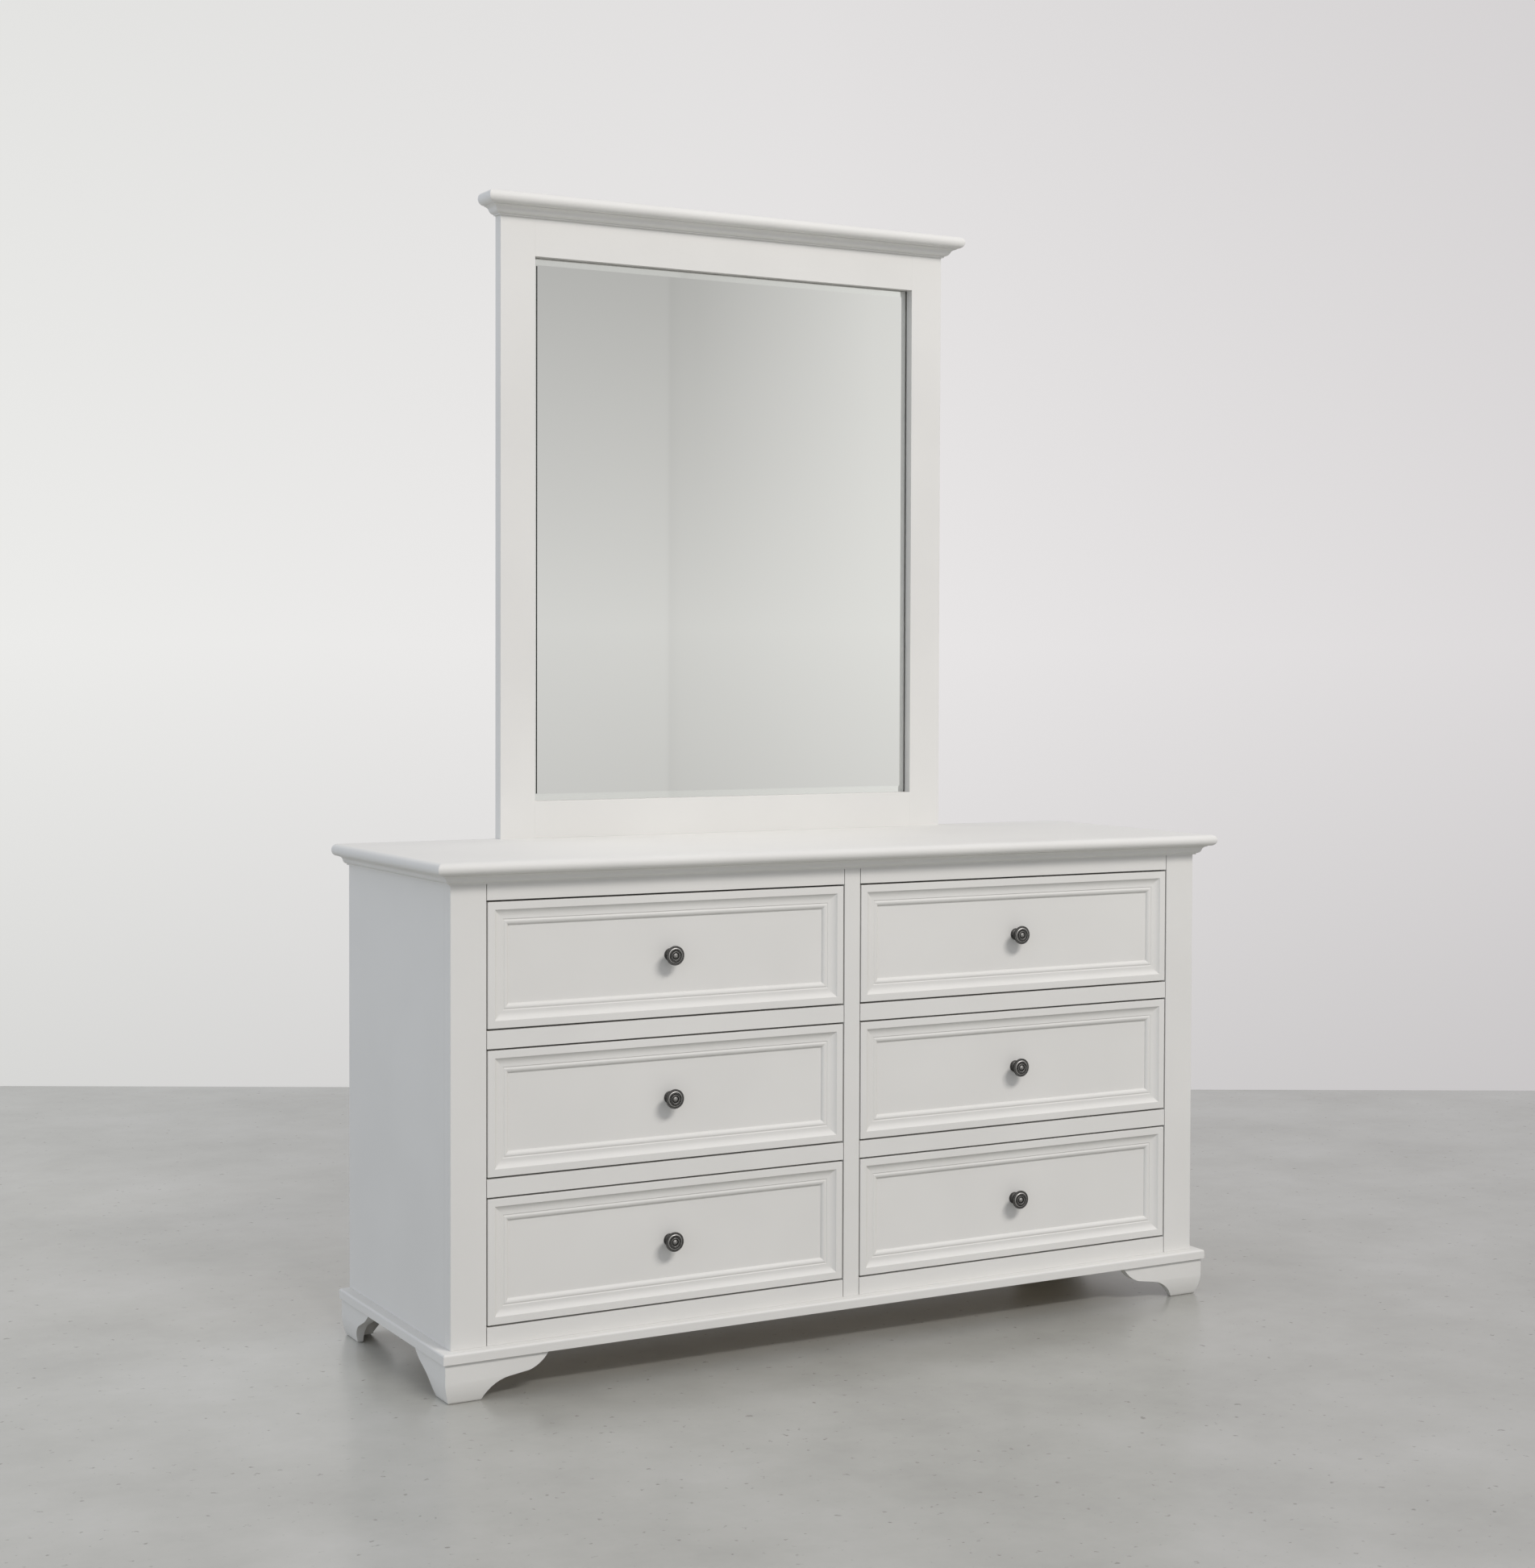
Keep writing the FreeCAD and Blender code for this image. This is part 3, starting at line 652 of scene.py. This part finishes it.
def make_sides(paint):
    rebate_y = low("back_panel").y
    for side, way in SIDES.items():
        outer = way * half_width
        inner = way * high("bottom_panel").x
        rebate = way * high("back_panel").x
        plan = [(outer, frame_back_y), (outer, back_y), (rebate, back_y), (rebate, rebate_y),
                (inner, rebate_y), (inner, frame_back_y)]
        board = drawn(f"case_side_{side}", [(x, y, ledge_top) for x, y in plan], (0, 0, case_top - ledge_top))
        soften(board, joint_arris)
        fit(board, "case", paint, "white_paint", f"{side}_side_panel")
        post = slab(f"corner_post_{side}", *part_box(f"{side}_front_post"))
        soften(post, post_arris, segments=3,
               test=lambda edge: all(abs(vert.co.y - front_y) < tiny and abs(vert.co.x - outer) < tiny
                                     for vert in edge.verts))
        soften(post, joint_arris)
        fit(post, "case", paint, "white_paint", f"{side}_front_post")


def make_face_frame(paint):
    stile = slab("stile_between_bays", *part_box("centre_stile"))
    soften(stile, joint_arris)
    fit(stile, "case", paint, "white_paint", "centre_stile")
    for side in SIDES:
        start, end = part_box(f"{side}_front_rails")
        edges = [start.z]
        for row in ROWS:
            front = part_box(f"{row}_{side}_drawer_front")
            edges += [front[0].z - front_end_gap, front[1].z + front_end_gap]
        edges.append(end.z)
        rails = [slab("rail", (start.x + joint_gap, start.y, bottom), (end.x - joint_gap, end.y, top))
                 for bottom, top in zip(edges[::2], edges[1::2])]
        rails = joined(rails, f"rails_{side}")
        soften(rails, joint_arris)
        fit(rails, "case", paint, "white_paint", f"{side}_front_rails")


def make_top(paint):
    top = nosed("dresser_top", *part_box("top_board"))
    fit(top, "case", paint, "white_paint", "top_board")
    reach = high("top_moulding").x - half_width
    section = s_section(low("top_moulding").z, case_top, reach)
    bed = wrapped("moulding_under_top", section, half_width, front_y, back_y)
    fit(bed, "case", paint, "white_paint", "top_moulding")


def make_base(paint):
    section = traced([(-base_board_inside, foot_height), (-base_board_inside, ledge_top),
                      (ledge_reach - ledge_round, ledge_top),
                      (ledge_reach, ledge_top - ledge_round, ledge_round * quarter_bow),
                      (ledge_reach, foot_height)])
    boards = wrapped("base_boards", section, half_width, front_y, back_y)
    inner = half_width - base_board_inside
    rear = slab("rear base board", (-inner, back_y - base_board_inside - ledge_reach, foot_height),
                (inner, back_y, ledge_top))
    base = joined([boards, rear], "base_boards")
    soften(base, joint_arris, lambda edge: edge.verts[0].co.z + edge.verts[1].co.z < 2 * foot_height + tiny)
    fit(base, "case", paint, "white_paint", "base_moulding")


# ---------------------------------------------------------------- bracket feet


def sawn_board(name, toe, waist, knee, end, knee_height, waist_bow, knee_bow, place, push):
    outline = traced([(0, 0), (toe, 0), (waist, waist_height, waist_bow), (knee, knee_height),
                      (end, foot_height, -knee_bow), (0, foot_height)])
    return drawn(name, [place(along, height) for along, height in outline], push)


def taper_cutter(place, push):
    """What a foot's outer face loses, so that it curves in at the floor."""
    section = traced([(-cut_margin, foot_taper_height), (0, foot_taper_height),
                      (foot_taper, 0, -foot_taper_bow), (foot_taper, -cut_margin),
                      (-cut_margin, -cut_margin)])
    return drawn("taper", [place(inwards, height) for inwards, height in section], push)


def glue_block():
    far = foot_board + foot_block
    return slab("glue block", (foot_board, foot_board, foot_block_lift), (far, far, foot_height))


def side_bracket():
    return sawn_board("side bracket", side_toe, side_waist, side_knee, side_end, side_knee_height,
                      side_waist_bow, side_knee_bow, lambda along, height: (0, along, height),
                      (foot_board, 0, 0))


def side_taper():
    return taper_cutter(lambda inwards, height: (inwards, -cut_margin, height),
                        (0, side_end + 2 * cut_margin, 0))


def make_front_foot():
    """The left front foot, with its outer corner at the origin."""
    foot = sawn_board("front foot", front_toe, front_waist, front_knee, front_end, front_knee_height,
                      front_waist_bow, front_knee_bow, lambda along, height: (along, 0, height),
                      (0, foot_board, 0))
    cut(foot, side_bracket(), "UNION")
    cut(foot, taper_cutter(lambda inwards, height: (-cut_margin, inwards, height),
                           (front_end + 2 * cut_margin, 0, 0)))
    cut(foot, side_taper())
    return joined([foot, glue_block()], "front foot")


def make_rear_foot():
    """The left rear foot, with its outer corner at the origin: a bracket to the side, and a plain
    brace behind."""
    foot = side_bracket()
    cut(foot, side_taper())
    edge = [(foot_board, 0), (foot_board + brace_toe, 0), (brace_end, brace_knee_height),
            (brace_end, foot_height), (foot_board, foot_height)]
    brace = drawn("brace", [(along, 0, height) for along, height in edge], (0, foot_board, 0))
    foot = joined([foot, brace, glue_block()], "rear foot")
    with editing(foot):
        pick_all()
        bpy.ops.transform.resize(value=(1, -1, 1), center_override=(0, 0, 0))
        close_up()
    return foot


def make_feet(paint):
    corner_x = -half_width - foot_reach
    for end, foot, corner_y in (("front", make_front_foot(), front_y - foot_reach),
                                ("rear", make_rear_foot(), back_y)):
        shift(foot, (corner_x, corner_y, 0))
        feet = {"left": foot, "right": turned_over(foot, "right foot", (-1, 1, 1))}
        for side, piece in feet.items():
            piece.name = f"bracket_foot_{end}_{side}"
            piece.data.name = piece.name
            soften(piece, foot_arris, lambda edge: all(vert.co.z < tiny for vert in edge.verts))
            soften(piece, joint_arris, lambda edge: all(vert.co.z > foot_arris for vert in edge.verts))
            fit(piece, "case", paint, "white_paint", f"{end}_{side}_foot")


# ---------------------------------------------------------------- drawers


def front_section():
    """What the front of a drawer does from its margin inwards: a cove, a flat, a fine groove, a bead
    and the sunk panel. Pairs of (distance in from the edge, depth)."""
    return traced([(border_width, 0), (cove_end, cove_depth, cove_bow), (quirk_start, cove_depth),
                   (quirk_middle, quirk_floor), (bead_start, bead_start_depth),
                   (bead_crest, bead_crest_depth, -bead_rise_bow), (bead_end, panel_depth, -bead_bow)])


def make_drawer_front(name, node):
    start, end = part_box(node)
    middle = (start + end) / 2
    front = slab(name, start, end)
    soften(front)

    def in_mitre(vert):
        in_x = end.x - middle.x - abs(vert.co.x - middle.x)
        in_z = end.z - middle.z - abs(vert.co.z - middle.z)
        return abs(in_x - in_z) < tiny and in_x > border_width - tiny

    with editing(front):
        pick(front, "FACE", lambda face: face.normal.y < -straight)
        before = (arris, 0)
        for after in front_section():
            bpy.ops.mesh.inset(thickness=after[0] - before[0], depth=before[1] - after[1])
            before = after
        pick(front, "EDGE", lambda edge: all(in_mitre(vert) for vert in edge.verts))
        bpy.ops.mesh.mark_sharp()
    return front


def make_knob(name, node, pewter, zinc):
    """A turned knob: a flange, a slim neck, and a head with a rounded band, a ring of small beads in a
    groove, a fine ring and a boss with a dimple. The head of its screw is inside the drawer."""
    start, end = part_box(node)
    panel_y = front_y + panel_depth
    centre = Vector(((start.x + end.x) / 2, panel_y, (start.z + end.z) / 2))
    ring_side = knob_ring_top - knob_ring_bow
    section = traced([
        (0, 0), (knob_flange_radius, 0),
        (knob_flange_radius - knob_flange_slope, knob_flange, -knob_flange_bow),
        (knob_neck_radius, knob_neck_start, knob_neck_bow), (knob_neck_radius, knob_neck_end),
        (knob_radius - knob_rim_slope[0], knob_rim_back, knob_back_bow),
        (knob_radius, knob_rim_back + knob_rim_slope[1]),
        (knob_radius, knob_rim), (knob_band_outer, knob_rim + knob_rim_rise),
        (knob_band_inner, knob_band_top, knob_band_bow), (knob_band_inner - knob_lean, knob_groove),
        (knob_ring_outer + knob_ring_lean, knob_groove), (knob_ring_outer, ring_side),
        (knob_ring_inner, ring_side, knob_ring_bow), (knob_ring_inner - knob_lean, knob_groove),
        (knob_boss_radius + knob_lean, knob_groove), (knob_boss_radius, knob_groove + knob_boss_side),
        (knob_dimple_radius, knob_boss_top, knob_boss_bow), (0, knob_boss_top - knob_dimple)])
    knob = spun(name, section, centre)
    beads = []
    for index in range(knob_bead_count):
        turn = 2 * math.pi * index / knob_bead_count
        place = centre + Vector((math.cos(turn), 0, math.sin(turn))) * knob_bead_ring
        place.y -= knob_groove
        bpy.ops.object.select_all(action="DESELECT")
        bpy.ops.mesh.primitive_ico_sphere_add(subdivisions=2, radius=knob_bead_radius, location=place)
        beads.append(started("bead"))
    knob = joined([knob] + beads, name)
    mark_wear(knob, centre)
    knob.data.materials.append(pewter)
    outline = traced([(0, 0), (screw_head_radius, 0), (screw_head_radius, -screw_head_side),
                      (tiny / 2, -screw_head, -screw_head_bow), (0, -screw_head)])
    head = spun("screw head", outline, (centre.x, end.y - screw_head, centre.z))
    head.data.materials.append(zinc)
    return joined([knob, head], name)


def mark_wear(knob, centre):
    """Writes how far each point of a knob's head is rubbed bright."""
    def rise(value, start, end):
        return min(1, max(0, (value - start) / (end - start)))

    worn = knob.data.attributes.new("worn", "FLOAT", "POINT")
    values = []
    for vert in knob.data.vertices:
        out = centre.y - vert.co.y
        radius = math.hypot(vert.co.x - centre.x, vert.co.z - centre.z)
        if out < knob_rim_back:
            values.append(worn_back)
        elif radius > knob_band_inner:
            values.append(worn_rim + (worn_band - worn_rim) * rise(out, knob_rim, knob_band_top))
        else:
            values.append(worn_rings * rise(out, knob_groove, knob_ring_top))
    worn.data.foreach_set("value", values)


def make_drawer_box(name, node, bottom_node, wood_x, wood_y):
    """Two sides dovetailed into an inner front, and a back between them, all grooved for the bottom."""
    start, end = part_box(node)
    tail_y = start.y + box_front
    pitch = (end.z - start.z) / tail_count
    wide = (pitch - pin_width) / 2
    narrow = wide - box_front / tail_slope
    clearance = Vector([groove_clearance] * 3)
    groove = [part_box(bottom_node)[0] - clearance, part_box(bottom_node)[1] + clearance]
    middles = [start.z + (index + 0.5) * pitch for index in range(tail_count)]
    inner_front = slab("inner front", start, (end.x, tail_y, end.z))
    boards = []
    tails = []
    for outer, inner in ((start.x, start.x + box_side), (end.x, end.x - box_side)):
        edge = [(tail_y, start.z), (end.y, start.z), (end.y, end.z), (tail_y, end.z)]
        for middle in reversed(middles):
            tail = [(tail_y, middle + narrow), (start.y, middle + wide),
                    (start.y, middle - wide), (tail_y, middle - narrow)]
            edge += tail
            tails.append(drawn("tail", [(outer, y, z) for y, z in tail], (inner - outer, 0, 0)))
        board = drawn("side", [(outer, y, z) for y, z in edge], (inner - outer, 0, 0))
        board.data.materials.append(wood_y)
        boards.append(board)
    cut(inner_front, joined(tails, "tails"))
    back = slab("back", (start.x + box_side, end.y - box_back, start.z), (end.x - box_side, end.y, end.z))
    for board in (inner_front, back):
        board.data.materials.append(wood_x)
        boards.append(board)
    for board in boards:
        cut(board, slab("groove", *groove))
        soften(board, box_arris, lambda edge: all(abs(vert.co.z - end.z) < tiny for vert in edge.verts)
               and edge.calc_length() > 2 * box_side)
    return joined(boards, name)


def make_drawers(paint, pewter, zinc, wood_x, wood_y):
    """One drawer is made, and the other five are copies of it, each moved to its own opening."""
    first = "lower_left_drawer"
    front = make_drawer_front("drawer face", f"{first}_front")
    knob = make_knob("knob", f"{first}_knob", pewter, zinc)
    box = make_drawer_box("drawer box", f"{first}_box", f"{first}_bottom", wood_x, wood_y)
    for row in ROWS:
        for side in SIDES:
            body = f"{row}_{side}_drawer"
            move = low(f"{body}_front") - low(f"{first}_front")
            fit(copied(front, f"{body}_face", move), body, paint, "white_paint", f"{body}_front")
            fit(copied(knob, f"{body}_pull", move), body, None, "pewter", f"{body}_knob")
            fit(copied(box, f"{body}_sides", move), body, None, "bare_wood", f"{body}_box")
    for pattern in (front, knob, box):
        bpy.data.objects.remove(pattern)


# ---------------------------------------------------------------- mirror


def make_mirror_frame(paint):
    glass_half = high("mirror_top_rail").x

    def rebate():
        reach = glass_half + glass_lap
        return slab("rebate", (-reach, low("mirror_glass").y, high("mirror_bottom_rail").z - glass_lap),
                    (reach, back_y + cut_margin, low("mirror_top_rail").z + glass_lap))

    def in_front(edge):
        return all(vert.co.y < mirror_front_y + tiny for vert in edge.verts)

    for side, way in SIDES.items():
        stile = slab(f"mirror_upright_{side}", *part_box(f"mirror_{side}_stile"))
        cut(stile, rebate())
        inner = way * glass_half
        soften(stile, glued_arris, lambda edge: in_front(edge) and
               all(abs(vert.co.x - inner) < tiny for vert in edge.verts))
        soften(stile, arris, lambda edge: in_front(edge) and
               all(abs(vert.co.x - inner) > arris for vert in edge.verts))
        fit(stile, "case", paint, "white_paint", f"mirror_{side}_stile")
    for end in ("bottom", "top"):
        rail = slab(f"mirror_crosspiece_{end}", *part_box(f"mirror_{end}_rail"))
        cut(rail, rebate())
        soften(rail, glued_arris, in_front)
        fit(rail, "case", paint, "white_paint", f"mirror_{end}_rail")


def make_cornice(paint):
    cornice = nosed("cornice_board", *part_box("mirror_cornice"))
    fit(cornice, "case", paint, "white_paint", "mirror_cornice")
    reach = high("cornice_moulding").x - mirror_half
    section = s_section(low("cornice_moulding").z, mirror_top, reach)
    bed = wrapped("moulding_under_cornice", section, mirror_half, mirror_front_y, back_y)
    fit(bed, "case", paint, "white_paint", "cornice_moulding")


def make_plate(glass, silver):
    """The mirror's plate: silver on its flat and its back, and clear glass on its bevels and edges."""
    start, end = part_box("mirror_glass")
    back = end.y - back_paint
    edge = back - glass_edge
    plate = slab("bevelled_plate", (start.x, edge, start.z), (end.x, back, end.z))
    plate.data.materials.append(glass)
    plate.data.materials.append(silver)
    with editing(plate):
        pick(plate, "FACE", lambda face: face.normal.y < -straight)
        bpy.ops.mesh.inset(thickness=glass_bevel, depth=edge - start.y)
        pick(plate, "FACE", lambda face: abs(face.normal.y) > straight)
        plate.active_material_index = 1
        bpy.ops.object.material_slot_assign()
    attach(plate, "case")
    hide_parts("mirror_glass")


# ---------------------------------------------------------------- nodes that keep the frame's shapes


def dress_nodes(finishes):
    for node, finish in finishes.items():
        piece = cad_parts[node]
        for holder in piece.material_slots:
            holder.material = finish


# ---------------------------------------------------------------- room, light and camera

camera_place = Vector((-2.24205, -3.95047, 1.17923))
camera_heading = math.radians(29.103)     # from +Y towards +X
camera_dip = math.radians(1.499)
camera_roll = math.radians(0.173)
camera_lens = 57.276                      # mm, for a sensor as high as the picture
camera_shift = (0.00032, -0.03117)
camera_sensor = 36

room_depth = 7.004                        # from the camera to where the floor ends
room_behind = 4                           # floor behind the camera
room_half_width = 11

# Walls, painted with their light and shade: headings from +Y towards +X, and heights as the sine of the angle
# above the horizon
back_wall_headings = (math.radians(10), math.radians(50))
back_wall_heights = (-0.17, 0.28)
near_wall_headings = (math.radians(144), math.radians(160))
near_wall_heights = (-0.06, 0.34)
near_wall_painted_fade = (math.radians(148.5), math.radians(152.5))    # where the painted light on the near wall turns to painted shade
near_corner = math.radians(153.18)        # the corner that the mirror shows
corner_shade = 0.02                       # as a share of the near walls, how far the painted corner shade darkens them, and half the width of its painted dark line
painted_corner_line = 0.001                       # and half the width of its line

ambient_left = "#E4ECF9"                  # cool daylight from the left, and plain light from the rest
ambient_rest = "#EDEDF2"
ambient_strength = 0.88
ambient_slope = (-0.36, 0.15, -0.31)      # what the strength gains towards +X, +Y and +Z
lamp_target = Vector((0, 0, 0.9))
lamp_colour = "#FFFBF8"
lamps = {"softbox_on_dresser": {"place": Vector((2.39, -6.62, 7.28)), "size": (4, 1.8), "power": 540},
         "softbox_on_floor": {"place": Vector((0, -9, 7.7)), "size": (4.8, 1), "power": 380}}


def make_camera():
    forward = Vector((math.sin(camera_heading) * math.cos(camera_dip),
                      math.cos(camera_heading) * math.cos(camera_dip), -math.sin(camera_dip)))
    level = Vector((math.cos(camera_heading), -math.sin(camera_heading), 0))
    upright = level.cross(forward)
    right = level * math.cos(camera_roll) + upright * math.sin(camera_roll)
    up = upright * math.cos(camera_roll) - level * math.sin(camera_roll)
    lens = bpy.data.cameras.new("camera")
    lens.sensor_width = camera_sensor
    lens.lens = camera_lens
    lens.shift_x, lens.shift_y = camera_shift
    camera = bpy.data.objects.new("camera", lens)
    bpy.context.scene.collection.objects.link(camera)
    turn = Matrix((right, up, -forward)).transposed().to_4x4()
    camera.matrix_world = Matrix.Translation(camera_place) @ turn
    bpy.context.scene.camera = camera


def make_floor():
    bpy.ops.object.select_all(action="DESELECT")
    ahead = Vector((math.sin(camera_heading), math.cos(camera_heading), 0))
    middle = Vector((camera_place.x, camera_place.y, 0)) + ahead * (room_depth - room_behind) / 2
    bpy.ops.mesh.primitive_plane_add(size=1, location=middle, rotation=(0, 0, -camera_heading))
    floor = started("floor", (2 * room_half_width, room_depth + room_behind, 1))
    floor.data.materials.append(made(polished_concrete))
    return floor


def make_lamp(name, floor, on_floor):
    """A wide, low softbox: horizontal edges cast crisp shadows, and upright ones soft shadows. It
    lights either the floor alone or all but the floor, so that no long shadow lies beside the case."""
    values = lamps[name]
    lamp = bpy.data.lights.new(name, "AREA")
    lamp.shape = "RECTANGLE"
    lamp.size, lamp.size_y = values["size"]
    lamp.energy = values["power"]
    lamp.color = colour(lamp_colour)[:3]
    holder = bpy.data.objects.new(name, lamp)
    bpy.context.scene.collection.objects.link(holder)
    turn = (values["place"] - lamp_target).to_track_quat("Z", "Y")
    holder.matrix_world = Matrix.Translation(values["place"]) @ turn.to_matrix().to_4x4()
    receivers = bpy.data.collections.new(f"lit_by_{name}")
    receivers.objects.link(floor)
    receivers.collection_objects[0].light_linking.link_state = "INCLUDE" if on_floor else "EXCLUDE"
    holder.light_linking.receiver_collection = receivers


def make_room():
    """Soft light from all round, strongest from the left. The camera, glossy and see-through rays meet
    walls instead, painted with light and shade: the one behind the dresser, and a corner of the room in front
    of it."""
    world = bpy.data.worlds.new("plain_room")
    bpy.context.scene.world = world
    world.use_nodes = True
    tree = world.node_tree
    tree.nodes.clear()
    way = add_node(tree, "ShaderNodeTexCoord").outputs["Generated"]
    parts = add_node(tree, "ShaderNodeSeparateXYZ", [("Vector", way)])
    heading = add_node(tree, "ShaderNodeMath", [(0, parts.outputs["X"]), (1, parts.outputs["Y"])],
                       operation="ARCTAN2")
    height = parts.outputs["Z"]
    limits = ("From Min", "From Max")

    # Painted light and shade on the back wall: darker towards its right, lightest near the horizon, darker at
    # its foot and a little darker above
    across = add_node(tree, "ShaderNodeMapRange", [("Value", heading), *zip(limits, back_wall_headings)])
    wall = add_node(tree, "ShaderNodeValToRGB", [("Fac", across)],
                    stops=[(0.0, "#ECECEA"), (0.5, "#EAE8E8"), (1.0, "#DAD7D8")])
    upwards = add_node(tree, "ShaderNodeMapRange", [("Value", height), *zip(limits, back_wall_heights)])
    back_wall_painted_rise = add_node(tree, "ShaderNodeValToRGB", [("Fac", upwards)],
                         stops=[(0.0, "#E7E7E7"), (0.4, "#FFFFFF"), (1.0, "#F5F5F5")])
    back_wall = add_node(tree, "ShaderNodeMix", [(0, 1.0), (6, wall), (7, back_wall_painted_rise)], **MULTIPLY)

    # Painted light and shade on the near walls: bright at one end, a painted shade that deepens into a dark
    # line at the corner, and a lit stretch that turns dim
    first, last = near_wall_headings
    corner = (near_corner - first) / (last - first)
    across = add_node(tree, "ShaderNodeMapRange", [("Value", heading), *zip(limits, near_wall_headings)])
    side = add_node(tree, "ShaderNodeValToRGB", [("Fac", across)],
                    stops=[(0.0, "#F8F8F5"), (corner - corner_shade, "#DCDCD9"),
                           (corner - painted_corner_line, "#D8D8D5"), (corner + painted_corner_line, "#DFDFDC"),
                           (1.0, "#E2E2E0")])
    upwards = add_node(tree, "ShaderNodeMapRange", [("Value", height), *zip(limits, near_wall_heights)])
    lit_side = add_node(tree, "ShaderNodeValToRGB", [("Fac", upwards)],
                        stops=[(0.0, "#EFEFEF"), (0.19, "#FFFFFF"), (0.55, "#F5F5F5"), (0.72, "#F3F3F3")])
    dim_side = add_node(tree, "ShaderNodeValToRGB", [("Fac", upwards)],
                        stops=[(0.0, "#EFEFEF"), (0.19, "#FFFFFF"), (0.55, "#D9D9D9"), (0.72, "#D6D6D6")])
    painted_light_fade = add_node(tree, "ShaderNodeMapRange", [("Value", heading), *zip(limits, near_wall_painted_fade)])
    rise = add_node(tree, "ShaderNodeMix", [(0, painted_light_fade), (6, lit_side), (7, dim_side)], **BLEND)
    near_walls = add_node(tree, "ShaderNodeMix", [(0, 1.0), (6, side), (7, rise.outputs[2])], **MULTIPLY)

    behind = add_node(tree, "ShaderNodeMath", [(0, parts.outputs["Y"]), (1, 0.0)], operation="GREATER_THAN")
    walls = add_node(tree, "ShaderNodeMix",
                     [(0, behind), (6, near_walls.outputs[2]), (7, back_wall.outputs[2])], **BLEND)
    rays = add_node(tree, "ShaderNodeLightPath")
    seen = rays.outputs["Is Camera Ray"]
    for kind in ("Is Glossy Ray", "Is Transmission Ray"):
        seen = add_node(tree, "ShaderNodeMath", [(0, seen), (1, rays.outputs[kind])], operation="MAXIMUM")
    slope = add_node(tree, "ShaderNodeVectorMath", [(0, way), (1, ambient_slope)], operation="DOT_PRODUCT")
    strength = add_node(tree, "ShaderNodeMath", [(0, slope.outputs["Value"]), (1, ambient_strength)],
                        operation="ADD")
    leftwards = add_node(tree, "ShaderNodeMapRange", [("Value", parts.outputs["X"]), ("From Max", -1)])
    ambient = add_node(tree, "ShaderNodeMix",
                       [(0, leftwards), (6, ambient_rest), (7, ambient_left)], **BLEND)
    lit = add_node(tree, "ShaderNodeBackground", [("Color", ambient.outputs[2]), ("Strength", strength)])
    shown = add_node(tree, "ShaderNodeBackground", [("Color", walls.outputs[2]), ("Strength", 1.0)])
    both = add_node(tree, "ShaderNodeMixShader", [(0, seen), (1, lit), (2, shown)])
    add_node(tree, "ShaderNodeOutputWorld", [("Surface", both)])


# ---------------------------------------------------------------- all of it

make_camera()
make_room()
floor = make_floor()
make_lamp("softbox_on_dresser", floor, False)
make_lamp("softbox_on_floor", floor, True)

paint = made(satin_lacquer)
wood_x = made(poplar, "poplar_grain_across", along=0)
wood_y = made(poplar, "poplar_grain_front_to_back", along=1)
wood_z = made(poplar, "poplar_grain_upright", along=2)
plywood = made(birch_plywood)
zinc = made(zinc_plate)

make_sides(paint)
make_face_frame(paint)
make_top(paint)
make_base(paint)
make_feet(paint)
make_drawers(paint, made(antique_pewter), zinc, wood_x, wood_y)
make_mirror_frame(paint)
make_cornice(paint)
make_plate(made(float_glass), made(silvered_glass))

finishes = {"centre_partition": plywood, "bottom_panel": plywood, "back_panel": plywood,
            "rear_rails": wood_x, "slide_cleats": wood_y, "case_slides": zinc,
            "mirror_backing": made(hardboard), "mirror_supports": wood_z, "support_screws": zinc}
for row in ROWS:
    for side in SIDES:
        finishes[f"{row}_{side}_drawer_bottom"] = plywood
        finishes[f"{row}_{side}_drawer_runners"] = zinc
dress_nodes(finishes)

bpy.context.scene.view_settings.view_transform = "Standard"
